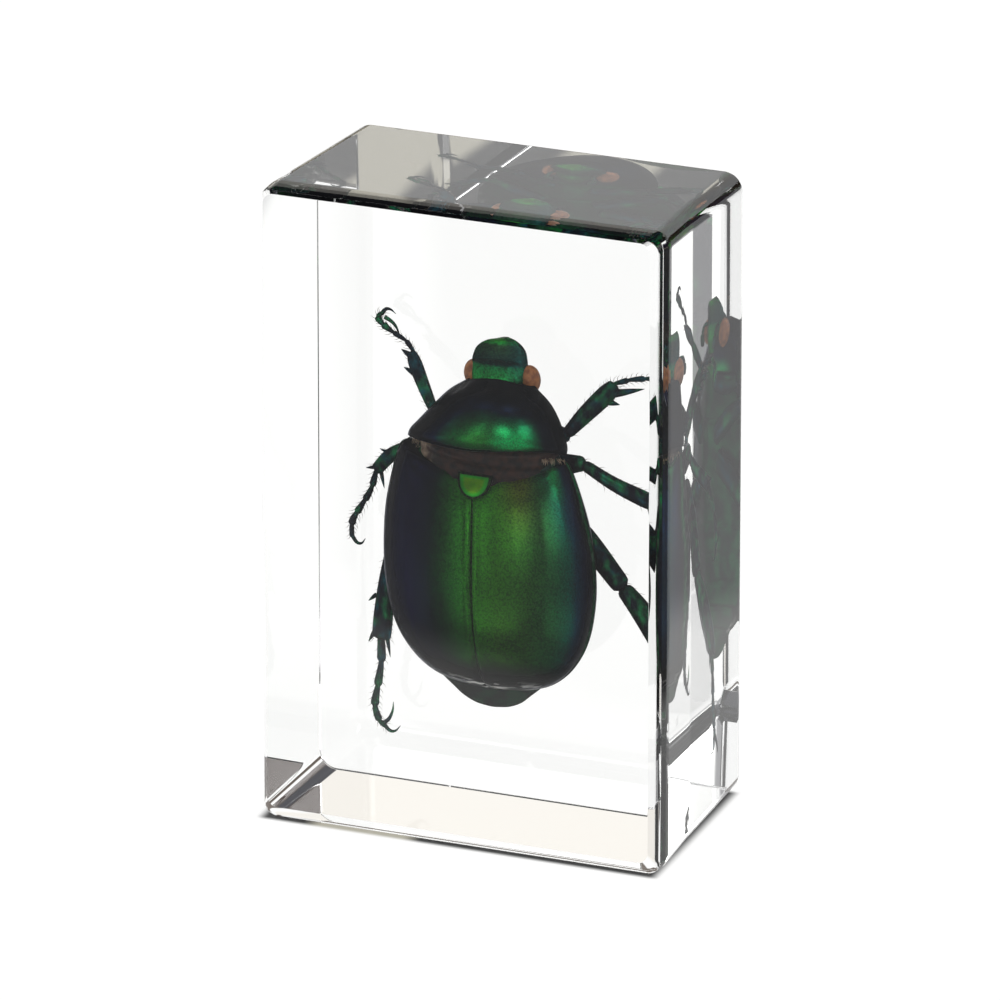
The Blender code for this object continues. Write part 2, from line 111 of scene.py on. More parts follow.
camera_data = bpy.data.cameras.new("camera")
camera_data.lens = LENS_MM
camera_data.sensor_width = 36.0
camera_data.clip_start = 0.01
camera_data.clip_end = 20.0
camera = bpy.data.objects.new("camera", camera_data)
turned = np.stack([on_ground(eye + axis) - on_ground(eye) for axis in (right, up, back)], axis=1)
turned /= np.linalg.norm(turned, axis=0)
camera.matrix_world = Matrix(np.vstack((np.column_stack((turned, on_ground(eye))), (0, 0, 0, 1))).tolist())
bpy.context.scene.collection.objects.link(camera)
bpy.context.scene.camera = camera
print("camera at", np.round(on_ground(eye), 3).tolist())

# %% [markdown]
# ## Grids into meshes
#
# A surface here is an array with rows, columns and x, y, z. Its cells become four-sided faces.
# The columns close on themselves, as round a leg, and the first and the last row each close on
# one point, as at a tip. So every surface is watertight from the start, and none needs capping.

# %% Faces of a grid
def grid_faces(rows, columns):
    """Corner numbers of every cell: (r, c), (r, c+1), (r+1, c+1), (r+1, c)."""
    r, c = np.meshgrid(np.arange(rows - 1), np.arange(columns), indexing="ij")
    d = (c + 1) % columns
    return np.stack((r * columns + c, r * columns + d, (r + 1) * columns + d, (r + 1) * columns + c),
                    axis=-1).reshape(-1, 4)


def pole_faces(ring, pole, flip):
    """A fan from the ring's corner numbers to one pole, as four corners with the last doubled."""
    nxt = np.roll(ring, -1)
    fan = np.stack((ring, nxt, np.full(len(ring), pole), np.full(len(ring), pole)), axis=-1)
    return fan[:, [1, 0, 2, 3]] if flip else fan


def sheet_part(grid, place=None):
    """One grid as (points, faces, place), each end closed on the middle of its ring.
    place holds two numbers for each point, for materials that follow the surface."""
    rows, columns = grid.shape[:2]
    points = grid.reshape(-1, 3)
    if place is None:
        across, along_it = np.linspace(0, 1, columns, endpoint=False), np.linspace(0, 1, rows)
        place = np.stack(np.meshgrid(across, along_it), axis=-1)
    place = place.reshape(-1, 2)
    faces = [grid_faces(rows, columns)]
    for row, flip in ((0, True), (rows - 1, False)):
        ring = np.arange(columns) + row * columns
        points = np.vstack((points, points[ring].mean(axis=0)))
        place = np.vstack((place, place[ring].mean(axis=0)))
        faces.append(pole_faces(ring, len(points) - 1, flip))
    return points, np.vstack(faces), place


print("a closed grid of 3 rows and 4 columns has", len(grid_faces(3, 4)), "cells")

# %% [markdown]
# Several surfaces can go into one mesh, which suits a leg with its teeth and claws. The mesh is
# filled from whole arrays, because adding thousands of faces one by one is slow. Each point
# keeps its place across and along the surface in an attribute, which the finishes read.

# %% From surfaces to a piece
def volume_of(points, faces):
    """Six times the signed volume: positive where the faces look outwards."""
    a, b, c, d = (points[faces[:, k]] for k in range(4))
    return float((np.cross(a, b) * c).sum() + (np.cross(a, c) * d).sum())


def make_piece(name, parts, material):
    """Join the parts into one object on the ground, faces outwards, riding on the body."""
    all_points, all_faces, all_places, start = [], [], [], 0
    for points, faces, place in parts:
        if volume_of(points, faces) < 0:
            faces = faces[:, ::-1]
        all_points.append(points)
        all_faces.append(faces + start)
        all_places.append(place)
        start += len(points)
    points, faces, places = (np.vstack(arrays) for arrays in (all_points, all_faces, all_places))
    keep = faces != np.roll(faces, -1, axis=1)
    counts = keep.sum(axis=1)
    loops = faces[keep]
    starts = np.concatenate(([0], np.cumsum(counts)[:-1]))
    mesh = bpy.data.meshes.new(name)
    mesh.vertices.add(len(points))
    mesh.vertices.foreach_set("co", on_ground(points).astype(np.float32).ravel())
    mesh.loops.add(len(loops))
    mesh.loops.foreach_set("vertex_index", loops.astype(np.int32))
    mesh.polygons.add(len(counts))
    mesh.polygons.foreach_set("loop_start", starts.astype(np.int32))
    mesh.polygons.foreach_set("use_smooth", np.ones(len(counts), bool))
    mesh.update(calc_edges=True)
    mesh.validate()
    spot = mesh.attributes.new("place", "FLOAT_VECTOR", "POINT")
    three = np.column_stack((places, np.zeros(len(places))))
    spot.data.foreach_set("vector", three.astype(np.float32).ravel())
    mesh.materials.append(material)
    piece = bpy.data.objects.new(name, mesh)
    bpy.context.scene.collection.objects.link(piece)
    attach(piece, "root")
    print(f"{name}: {len(points)} points, {len(counts)} faces")
    return piece


print("six times the volume of a unit corner:", volume_of(np.eye(3), np.array([[0, 1, 2, 2]])))

# %% [markdown]
# ## The clear casting
#
# One closed surface: a rounded rectangle that shrinks with depth, carried from the front face,
# down the tapered sides, and over the back edge to the back face. The front face of such a
# casting is ground flat after it leaves the mould and its rim is buffed by hand. So the rim
# isn't an even round: it starts with a crease, runs over a narrow slope, and then rolls slowly
# into the side, deepest on the right and shallowest at the bottom. A bevelled box would have
# four equal rounds, but it is this rim that breaks the insect up into bright and black strips.
# Each side of it is a short table of insets against depth.

# %% Rim and back edge
SIDE_EDGE, SMALLEST_EDGE = 1.3, 0.4
BACK_EDGE = {"right": 0.5, "top": 0.4, "left": 0.09, "bottom": 0.09}
RIM_DEPTH = np.array((0.0, 0.386, 0.6, 0.85, 1.45, 1.85, 6.0, 15.3))
RIM = {"right": (1.083, 0.707, 0.58, 0.47, 0.33, 0.30, 0.30, 0.0),
       "top": (0.71, 0.53, 0.48, 0.43, 0.33, 0.28, 0.19, 0.0),
       "left": (0.62, 0.28, 0.17, 0.10, 0.035, 0.02, 0.01, 0.0),
       "bottom": (1.10, 0.42, 0.21, 0.07, 0.01, 0.0, 0.0, 0.0)}
CREASE_DEPTH = 0.06


def back_inset(name, depth):
    """The back edge's quarter round: r - sqrt(r^2 - into^2), into measured from where it starts."""
    r = BACK_EDGE[name]
    into = np.clip(depth - (DEPTH - r), 0, r)
    return r - np.sqrt(np.maximum(r * r - into * into, 0))


def side_inset(name, depth):
    """How far a side lies inside its taper: straight between the rim's stations, then softened
    by a running mean over 0.1 mm, with the crease at the front kept sharp."""
    spread = np.linspace(-0.05, 0.05, 9)[:, None]
    stations = np.interp(np.maximum(depth + spread, 0), RIM_DEPTH, RIM[name]).mean(axis=0)
    return np.where(depth < CREASE_DEPTH, np.interp(depth, RIM_DEPTH, RIM[name]), stations)


half_deep = np.array([0.5])
print("insets half a millimetre deep:", [round(float(side_inset(name, half_deep)[0]), 2) for name in RIM])

# %% [markdown]
# Rows and columns sit close together beside each bend. Smooth shading tilts the surface between
# neighbouring rows, and wide rows there would make the flat faces act as weak lenses.

# %% Resin block
ROW_ROUNDS = (0.5, 0.4, 0.14)
CORNER_POINTS = 15
FLAT_STEP, FACE_STEP = 0.04, 0.02


def depth_rows():
    """Depths behind the front face: close together on the rim and on the back edge's rounds,
    where the last set serves both small ones, and far apart on the sides."""
    rim = np.concatenate(((0.0, 0.01, 0.03), np.arange(0.06, 0.99, 0.04), np.arange(1.0, 2.15, 0.1)))
    sides = np.array((2.4, 4.0, 5.8, 6.0, 6.2, 8.0, 12.0, 14.5))
    t = np.radians(np.linspace(0, 90, 11))
    rounds = np.unique(np.concatenate([DEPTH - r * (1 - np.sin(t)) for r in ROW_ROUNDS]).round(5))
    return np.concatenate((rim, sides, rounds))


def block_surface():
    """Each ring is a rounded rectangle: four corner arcs of radius r round (+-(a-r), +-(b-r)),
    where a and b are half the size less the rim's inset on that side and the taper. One more
    column stands on the flat just before and just after each arc."""
    rows, n = depth_rows(), CORNER_POINTS
    shrink = rows * math.tan(DRAFT)
    inset = {name: (side_inset(name, rows) + back_inset(name, rows) + shrink)[:, None] for name in RIM}
    right_x, left_x = WIDTH / 2 - inset["right"], WIDTH / 2 - inset["left"]
    top_z, bottom_z = HEIGHT / 2 - inset["top"], HEIGHT / 2 - inset["bottom"]
    half_x = np.concatenate((right_x, left_x, left_x, right_x), axis=1).repeat(n, axis=1)
    half_z = np.concatenate((top_z, top_z, bottom_z, bottom_z), axis=1).repeat(n, axis=1)
    eaten = 0.8 * (back_inset("top", rows) + side_inset("top", rows))[:, None]
    r = np.maximum(SIDE_EDGE - eaten, SMALLEST_EDGE)
    turn = np.concatenate([np.linspace(0, math.pi / 2, n) + k * math.pi / 2 for k in range(4)])
    x = np.repeat((1, -1, -1, 1), n) * (half_x - r) + r * np.cos(turn)
    z = np.repeat((1, 1, -1, -1), n) * (half_z - r) + r * np.sin(turn)
    y = (rows - DEPTH / 2)[:, None] + 0 * x
    grid = np.stack((x, y, z), axis=-1)
    step = np.array(((0, 0, -1), (1, 0, 0), (0, 0, 1), (-1, 0, 0))) * FLAT_STEP
    before = grid[:, 0::n] + step
    after = grid[:, n - 1::n] + np.roll(step, 1, axis=0)
    spans = [np.concatenate((before[:, k:k + 1], grid[:, n * k:n * k + n], after[:, k:k + 1]), axis=1)
             for k in range(4)]
    return np.concatenate(spans, axis=1)


def with_flat_support(grid):
    """One more ring just inside the first and the last one, on the flat faces."""
    first, last = grid[:1].copy(), grid[-1:].copy()
    for ring in (first, last):
        middle = ring.mean(axis=1, keepdims=True)
        reach = np.linalg.norm(ring - middle, axis=-1, keepdims=True)
        ring -= (ring - middle) / reach * FACE_STEP
    return np.concatenate((first, grid, last))


def clear_resin():
    """Clear casting resin: plain transmission, its own index of refraction, hardly any tint."""
    material = bpy.data.materials.new("clear_resin")
    material.use_nodes = True
    shader = material.node_tree.nodes["Principled BSDF"]
    shader.inputs["Base Color"].default_value = (0.985, 0.99, 0.985, 1.0)
    shader.inputs["Roughness"].default_value = 0.0
    shader.inputs["IOR"].default_value = 1.56
    shader.inputs["Transmission Weight"].default_value = 1.0
    return material


resin = clear_resin()
block = make_piece("resin_block", [sheet_part(with_flat_support(block_surface()))], resin)
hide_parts("resin_front", "resin_back")

# %% [markdown]
# ## Smooth tables
#
# The beetle's outline is kept as short tables of stations, measured down the middle line. A
# Catmull-Rom curve through the stations gives as many rows as a surface needs.

# %% Resampling
def along(table, count):
    """Rows on a Catmull-Rom curve: p1 + t/2 (p2-p0 + t (2p0-5p1+4p2-p3 + t (3(p1-p2)+p3-p0)))."""
    table = np.array(table, dtype=float)
    padded = np.vstack((2 * table[0] - table[1], table, 2 * table[-1] - table[-2]))
    at = np.linspace(0.0, len(table) - 1.000001, count)
    k = at.astype(int)
    t = (at - k)[:, None]
    p0, p1, p2, p3 = padded[k], padded[k + 1], padded[k + 2], padded[k + 3]
    return p1 + 0.5 * t * (p2 - p0 + t * (2 * p0 - 5 * p1 + 4 * p2 - p3 + t * (3 * (p1 - p2) + p3 - p0)))


def bell(value, middle, width):
    """A smooth bump of height one: exp(-((value - middle) / width)^2)."""
    return np.exp(-((value - middle) / width) ** 2)


def columns_of(table, count):
    """The resampled table's columns, each ready to meet a row of angles."""
    return [column[:, None] for column in along(table, count).T]


print("a bump at its middle and one width off:", bell(0, 0, 1), round(float(bell(1, 0, 1)), 3))

# %% [markdown]
# ## Finishes
#
# A chafer's green is a colour of structure: the shell reflects like tinted metal, so its
# finishes are mostly metallic, with the colour changing across the shell. A painted image would
# need every plate unwrapped. Instead the colour follows the point attribute "place" that every
# piece carries: x runs across a plate, y along it. Small helpers keep the node trees short.

# %% Node helpers
SHELL_SHEEN = (0.10, 0.12, 0.20, 1.0)


def new_finish(name, metallic, roughness, specular):
    """A Principled material with its constant values on its own sockets."""
    material = bpy.data.materials.new(name)
    material.use_nodes = True
    shader = material.node_tree.nodes["Principled BSDF"]
    shader.inputs["Metallic"].default_value = metallic
    shader.inputs["Roughness"].default_value = roughness
    shader.inputs["Specular IOR Level"].default_value = specular
    if metallic > 0:
        shader.inputs["Specular Tint"].default_value = SHELL_SHEEN
    return material, material.node_tree, shader


def add(tree, kind, inputs=None, **settings):
    """One node: its settings, then each input as a value or as a link from another socket."""
    node = tree.nodes.new(kind)
    for key, value in settings.items():
        setattr(node, key, value)
    for key, value in (inputs or {}).items():
        if isinstance(value, bpy.types.NodeSocket):
            tree.links.new(value, node.inputs[key])
        else:
            node.inputs[key].default_value = value
    return node


def place_of(tree):
    """The piece's own coordinates across and along."""
    spot = add(tree, "ShaderNodeAttribute", attribute_name="place")
    split = add(tree, "ShaderNodeSeparateXYZ", {0: spot.outputs["Vector"]})
    return split.outputs[0], split.outputs[1]


def ramp(tree, factor, stops):
    """A colour ramp with the given (position, colour) stops."""
    node = add(tree, "ShaderNodeValToRGB", {0: factor})
    while len(node.color_ramp.elements) < len(stops):
        node.color_ramp.elements.new(0.5)
    for element, (position, colour) in zip(node.color_ramp.elements, stops):
        element.position = position
        element.color = (*colour, 1.0)
    return node.outputs[0]


def blend_colours(tree, amount, first, second, mode="MIX"):
    """first (1 - amount) + second amount; with the mode MULTIPLY, first times second."""
    node = add(tree, "ShaderNodeMix", {0: amount}, data_type="RGBA", blend_type=mode, clamp_factor=True)
    for index, colour in ((6, first), (7, second)):
        if isinstance(colour, bpy.types.NodeSocket):
            tree.links.new(colour, node.inputs[index])
        else:
            node.inputs[index].default_value = (*colour, 1.0)
    return node.outputs[2]


print("sheen of the shell:", SHELL_SHEEN[:3])

# %% [markdown]
# Where a colour begins and ends is a sum in nodes. An eased step has no hard edge, a hump is two
# of them back to back, and the product of two fields is high only where both are.

# %% Fields
def maths(tree, operation, first, second=0.0):
    """One sum of two numbers."""
    return add(tree, "ShaderNodeMath", {0: first, 1: second}, operation=operation).outputs[0]


def both(tree, first, second):
    """first times second."""
    return maths(tree, "MULTIPLY", first, second)


def mix_of(tree, first, second, share_first, share_second):
    """first share_first + second share_second."""
    return maths(tree, "ADD", both(tree, first, share_first), both(tree, second, share_second))


def off(tree, value, middle):
    """How far a value is from a middle: |value - middle|."""
    return maths(tree, "ABSOLUTE", maths(tree, "SUBTRACT", value, middle))


def between(tree, value, low, high, to_low=0.0, to_high=1.0, easing="SMOOTHSTEP"):
    """A value stretched from one range to another, clamped and eased at both ends."""
    node = add(tree, "ShaderNodeMapRange", {0: value, 1: low, 2: high, 3: to_low, 4: to_high})
    node.interpolation_type = easing
    return node.outputs[0]


def hump(tree, value, middle, width):
    """One at the middle, falling smoothly to nothing one width away."""
    return between(tree, off(tree, value, middle), 0.0, width, 1.0, 0.0)


print("fields: step, hump and their product")

# %% [markdown]
# A beetle's shell is covered in fine pits, and this one is dusty at its margins. Pits cut into
# the mesh would take millions of faces, so they are bump from scattered cells. Grain and pits
# lie on the object's own coordinates, which keeps them in place on the piece.

# %% Grain, pits and dust
def object_noise(tree, kind, size_mm, output, stretch, **inputs):
    """A noise node in the object's own space, its features about size_mm across."""
    where = add(tree, "ShaderNodeTexCoord").outputs["Object"]
    if stretch:
        where = add(tree, "ShaderNodeMapping", {0: where, 3: stretch}).outputs[0]
    return add(tree, kind, {0: where, "Scale": 1000.0 / size_mm, **inputs}).outputs[output]


def grain(tree, size_mm, detail=2.0, stretch=(1.0, 1.0, 1.0)):
    """Soft clouds of noise."""
    return object_noise(tree, "ShaderNodeTexNoise", size_mm, 0, stretch, Detail=detail)


def pits(tree, size_mm):
    """Distance to the nearest of many scattered points about size_mm apart."""
    return object_noise(tree, "ShaderNodeTexVoronoi", size_mm, "Distance", None)


def mottled(tree, size_mm, detail, low, high, first, second, most=1.0):
    """The first colour, turned into the second by up to a share where the grain is high."""
    share = between(tree, grain(tree, size_mm, detail), low, high, 0.0, most)
    return blend_colours(tree, share, first, second)


def dent(tree, shader, height, strength, distance_mm):
    """Bump from a height into the shader's normal."""
    inputs = {"Height": height, "Strength": strength, "Distance": distance_mm / 1000}
    tree.links.new(add(tree, "ShaderNodeBump", inputs).outputs[0], shader.inputs["Normal"])


def coat(tree, shader, colour, pit_mm, strength, depth_mm):
    """Lay a colour on and press pits into it."""
    tree.links.new(colour, shader.inputs["Base Color"])
    dent(tree, shader, pits(tree, pit_mm), strength, depth_mm)


def dusted(tree, shader, base, mask, dust_colour):
    """Lay pale dust over a base colour where the mask is high, and dull the gloss there."""
    tree.links.new(blend_colours(tree, mask, base, dust_colour), shader.inputs["Base Color"])
    tree.links.new(between(tree, mask, 0.0, 1.0, 0.32, 0.75), shader.inputs["Roughness"])
    tree.links.new(between(tree, mask, 0.0, 0.7, 0.7, 0.0), shader.inputs["Metallic"])


print("a pit of 0.2 mm is a cell at scale", 1000.0 / 0.2)

# %% [markdown]
# The wing cases carry the richest colour. From the left margin to the right one it goes from
# black and a dark violet blue into green, over an olive bronze on the right wing case, then
# through a bright blue green to deep blue and black again. The black and blue towards the
# margins is partly the shell's colour and partly painted shade. Towards the tip everything sinks
# into black, a painted shade. The left wing case turns blue much nearer to the middle, a painted
# shade on that side. One ramp holds the whole width, and three soft patches near the base lie
# over it: the olive bronze and the green base are partly colour and partly painted highlight,
# the bright shoulder is a painted highlight. Whitish dust streaks the left margin and the tip.

# %% Wing case finish
# the dark stops towards the margins are partly painted shade, and the left wing case is painted darker nearer
# the middle than the right
WING_COLOURS_AND_SHADE = (
    (0.000, (0.003, 0.010, 0.008)), (0.015, (0.004, 0.045, 0.018)), (0.035, (0.008, 0.009, 0.014)),
    (0.10, (0.010, 0.010, 0.024)), (0.25, (0.008, 0.008, 0.030)), (0.33, (0.007, 0.014, 0.022)),
    (0.39, (0.007, 0.050, 0.014)), (0.46, (0.014, 0.120, 0.012)), (0.52, (0.028, 0.165, 0.011)),
    (0.60, (0.038, 0.150, 0.012)), (0.70, (0.028, 0.118, 0.016)), (0.80, (0.013, 0.105, 0.030)),
    (0.86, (0.005, 0.090, 0.055)), (0.895, (0.006, 0.038, 0.060)), (0.93, (0.009, 0.014, 0.040)),
    (0.965, (0.006, 0.007, 0.012)), (0.985, (0.004, 0.110, 0.030)), (1.000, (0.002, 0.004, 0.006)),
)
# olive bronze and green base are partly colour and partly painted highlight; the bright shoulder is a painted
# highlight
# middle and width across, where it ends and is full along, amount, colour
WING_PATCHES_AND_HIGHLIGHTS = {
    "olive bronze": (0.36, 0.24, 0.30, 0.05, 0.8, (0.21, 0.115, 0.014)),
    "green base": (0.10, 0.5, 0.55, 0.10, 0.5, (0.040, 0.330, 0.012)),
    "bright shoulder": (0.74, 0.10, 0.22, 0.05, 1.0, (0.02, 0.42, 0.10)),
}


def wing_case_finish():
    """The ramp across, its edges made wavy; the patches, partly painted highlight; painted shade, black from
    two thirds of the length.
    """
    material, tree, shader = new_finish("green_wing_case", 0.72, 0.33, 0.12)
    across, along_it = place_of(tree)
    wavy = both(tree, maths(tree, "SUBTRACT", grain(tree, 2.5), 0.5), 0.10)
    spot = between(tree, maths(tree, "ADD", across, wavy), -1.0, 1.0, easing="LINEAR")
    colour = ramp(tree, spot, WING_COLOURS_AND_SHADE)
    for middle, width, ends, full, amount, patch_colour in WING_PATCHES_AND_HIGHLIGHTS.values():
        patch = both(tree, hump(tree, across, middle, width), between(tree, along_it, ends, full))
        colour = blend_colours(tree, both(tree, patch, amount), colour, patch_colour)
    # painted shade: the colour sinks to black towards the tip
    end = between(tree, maths(tree, "ADD", along_it, wavy), 0.56, 0.67, 1.0, 0.05)
    colour = blend_colours(tree, 1.0, colour, end, "MULTIPLY")
    base = mottled(tree, 0.12, 1.0, 0.3, 0.75, colour, (0.002, 0.004, 0.006), 0.6)
    side = between(tree, maths(tree, "ABSOLUTE", across), 0.90, 0.985)
    margin = both(tree, side, between(tree, across, 0.2, -0.2, 0.06, 0.45))
    tip = both(tree, between(tree, along_it, 0.69, 0.79), between(tree, across, 0.9, 0.1, 0.5, 1.0))
    streaks = between(tree, grain(tree, 0.55, 3.0, (0.45, 1.0, 1.0)), 0.50, 0.62)
    dust = both(tree, maths(tree, "MAXIMUM", margin, tip), streaks)
    dusted(tree, shader, base, dust, (0.90, 0.90, 0.87))
    dent(tree, shader, pits(tree, 0.22), 0.25, 0.012)
    return material


wing_green = wing_case_finish()
print("wing case finish:", len(wing_green.node_tree.nodes), "nodes")

# %% [markdown]
# The neck shield is green in its middle and almost black towards its margins, with a blue
# tint between; the black is partly the shell's colour and partly painted shade, and a bright
# green spot on its right is a painted highlight. The head goes from a dark, closely pitted
# front plate to a bright green brow and a bright green front rim, both partly colour and partly
# painted highlight. The small triangle between the wing cases is the brightest yellow green of
# all, with a black rim that is partly painted shadow of the gap round it. Each is one ramp, on a
# hump or along the plate.

# %% Shield, head and triangle finishes
# the shield's near-black margins are partly its colour and partly painted shade
SHIELD_COLOURS_AND_SHADE = ((0.0, (0.003, 0.005, 0.010)), (0.22, (0.004, 0.010, 0.030)), (0.45, (0.008, 0.075, 0.032)),
                  (0.8, (0.014, 0.190, 0.036)), (1.0, (0.022, 0.230, 0.030)))
# the bright green brow and front rim are partly colour and partly painted highlight
HEAD_COLOURS_AND_HIGHLIGHTS = ((0.0, (0.008, 0.12, 0.02)), (0.16, (0.012, 0.30, 0.05)), (0.40, (0.008, 0.20, 0.05)),
                (0.47, (0.007, 0.040, 0.030)), (0.56, (0.010, 0.040, 0.030)), (0.86, (0.022, 0.070, 0.028)),
                (0.93, (0.012, 0.34, 0.04)), (1.0, (0.060, 0.40, 0.03)))
# the triangle's black rim is partly painted shadow of the gap round it
TRIANGLE_COLOURS_AND_SHADOW = ((0.0, (0.08, 0.28, 0.01)), (0.50, (0.13, 0.34, 0.012)), (0.66, (0.04, 0.40, 0.02)),
                    (0.80, (0.02, 0.34, 0.03)), (0.87, (0.002, 0.006, 0.006)), (1.0, (0.001, 0.002, 0.002)))


def shield_finish():
    """The ramp on a hump across times a hump along, its dark margins partly painted shade; a painted
    highlight spot; an olive hind margin.
    """
    material, tree, shader = new_finish("green_neck_shield", 0.75, 0.30, 0.12)
    across, along_it = place_of(tree)
    middle = both(tree, hump(tree, across, 0.02, 0.85), hump(tree, along_it, 0.36, 0.52))
    colour = ramp(tree, middle, SHIELD_COLOURS_AND_SHADE)
    # painted highlight: a bright green spot on the right of the shield
    painted_highlight = both(tree, hump(tree, across, 0.48, 0.36), hump(tree, along_it, 0.28, 0.42))
    colour = blend_colours(tree, painted_highlight, colour, (0.012, 0.850, 0.200))
    olive = both(tree, hump(tree, across, 0.25, 0.6), between(tree, along_it, 0.10, 0.02))
    colour = blend_colours(tree, both(tree, olive, 0.5), colour, (0.05, 0.10, 0.01))
    colour = mottled(tree, 0.10, 1.0, 0.3, 0.75, colour, (0.002, 0.005, 0.008), 0.5)
    coat(tree, shader, colour, 0.20, 0.30, 0.014)
    return material


def head_finish():
    """The ramp from the neck to the front rim, its bright brow and rim partly painted highlight, teal towards
    the right.
    """
    material, tree, shader = new_finish("green_head", 0.72, 0.32, 0.12)
    across, along_it = place_of(tree)
    colour = ramp(tree, along_it, HEAD_COLOURS_AND_HIGHLIGHTS)
    teal = both(tree, between(tree, across, 0.1, 0.8), 0.6)
    colour = blend_colours(tree, teal, colour, (0.003, 0.05, 0.05))
    colour = mottled(tree, 0.12, 1.0, 0.35, 0.7, colour, (0.002, 0.006, 0.008), 0.6)
    coat(tree, shader, colour, 0.17, 0.6, 0.03)
    return material


def triangle_finish():
    """The ramp from the middle to the rim, whose black is partly painted shadow."""
    material, tree, shader = new_finish("yellow_green_triangle", 0.7, 0.30, 0.12)
    colour = ramp(tree, place_of(tree)[1], TRIANGLE_COLOURS_AND_SHADOW)
    colour = mottled(tree, 0.10, 1.0, 0.35, 0.75, colour, (0.05, 0.14, 0.01), 0.4)
    coat(tree, shader, colour, 0.16, 0.25, 0.01)
    return material


shield_green, head_green, triangle_green = shield_finish(), head_finish(), triangle_finish()
print("plate finishes:", [m.name for m in (shield_green, head_green, triangle_green)])

# %% [markdown]
# The legs are nearly black, with green and blue green glints that are painted; the underside is
# nearly black with a mottled green. The eyes are a dull orange brown, finely faceted. Between the
# neck shield and the wing cases a band of brown skin shows, with a tan fringe of hair at its left
# end and a short one at its right. None of these has a pattern that follows the piece, so grain
# alone mottles them.

# %% Leg, belly, eye, skin and hair finishes
def leg_finish():
    """Nearly black, with stretched patches of painted glint that are green here and blue green there."""
    material, tree, shader = new_finish("dark_green_leg", 0.7, 0.30, 0.15)
    patch = between(tree, grain(tree, 0.7, 2.0, (1.0, 1.0, 0.6)), 0.38, 0.78)
    # painted glints: green and blue green patches stand in for highlights on the legs
    glint = mottled(tree, 1.4, 1.0, 0.42, 0.58, (0.012, 0.24, 0.07), (0.008, 0.10, 0.13))
    colour = blend_colours(tree, both(tree, patch, 0.7), (0.007, 0.010, 0.016), glint)
    coat(tree, shader, colour, 0.20, 0.35, 0.02)
    return material


def belly_finish():
    """Dark, mottled green, with a little dust on the end plate."""
    material, tree, shader = new_finish("dark_belly", 0.6, 0.36, 0.15)
    colour = mottled(tree, 1.2, 2.0, 0.35, 0.65, (0.008, 0.014, 0.012), (0.008, 0.075, 0.028))
    end_plate = between(tree, place_of(tree)[1], 0.93, 0.98)
    dust = both(tree, end_plate, between(tree, grain(tree, 0.4, 3.0), 0.5, 0.7))
    dusted(tree, shader, colour, both(tree, dust, 0.30), (0.42, 0.42, 0.40))
    dent(tree, shader, pits(tree, 0.18), 0.4, 0.02)
    return material


def eye_finish():
    """Orange brown, mottled darker, with facets as the finest pits."""
    material, tree, shader = new_finish("orange_brown_eye", 0.0, 0.45, 0.3)
    colour = mottled(tree, 0.35, 2.0, 0.35, 0.7, (0.40, 0.155, 0.055), (0.22, 0.08, 0.035))
    coat(tree, shader, colour, 0.06, 0.5, 0.01)
    return material


def skin_finish():
    """Dark brown skin that turns tan at its left end, wrinkled by grain."""
    material, tree, shader = new_finish("brown_neck_skin", 0.0, 0.5, 0.2)
    dark = mottled(tree, 0.5, 3.0, 0.35, 0.65, (0.007, 0.005, 0.004), (0.034, 0.013, 0.008))
    ragged = maths(tree, "ADD", place_of(tree)[0], both(tree, grain(tree, 0.5), 0.4))
    colour = blend_colours(tree, between(tree, ragged, -0.50, -0.78), dark, (0.42, 0.31, 0.22))
    tree.links.new(colour, shader.inputs["Base Color"])
    dent(tree, shader, grain(tree, 0.15, 3.0), 0.5, 0.03)
    return material


def hair_finish(name, light, dark):
    """Dark at the root, light at the tip."""
    material, tree, shader = new_finish(name, 0.0, 0.55, 0.3)
    tree.links.new(blend_colours(tree, place_of(tree)[1], dark, light), shader.inputs["Base Color"])
    return material


leg_dark = leg_finish()
belly_dark, eye_orange, skin_brown = belly_finish(), eye_finish(), skin_finish()
bristle_brown = hair_finish("brown_bristle", (0.30, 0.24, 0.17), (0.06, 0.045, 0.03))
fringe_tan = hair_finish("tan_fringe", (0.62, 0.50, 0.36), (0.38, 0.27, 0.18))
print("other finishes:", [m.name for m in (leg_dark, belly_dark, eye_orange, skin_brown)])

# %% [markdown]
# ## The trunk
#
# The underside is one keeled form. Grooves mark the belly rings and the breast plates, and the
# last ring shows behind the wing cases as a small dark end plate. It could be sculpted, but the
# depths are known only from a few places, and a table of stations says plainly what they are.

# %% Trunk
MID_X = -0.25
# height, half width, then the depths of the side edge, the back and the belly
TRUNK = (
    (6.3, 3.15, 2.6, 0.3, 4.4), (4.65, 4.45, 2.4, -0.7, 4.7), (3.2, 5.15, 2.3, -0.9, 4.9),
    (0.0, 6.5, 2.3, -1.5, 5.0), (-4.5, 6.9, 2.3, -2.0, 5.0), (-8.9, 6.1, 2.5, -0.7, 4.4),
    (-11.5, 4.35, 2.8, 0.9, 4.1), (-13.2, 2.6, 3.0, 2.2, 3.9), (-13.75, 1.95, 3.15, 2.55, 3.7),
    (-14.1, 1.2, 3.2, 2.8, 3.6), (-14.22, 0.5, 3.25, 2.95, 3.5),
)
BELLY_GROOVES = (2.9, -1.4, -4.3, -6.5, -8.5, -10.3, -11.9)


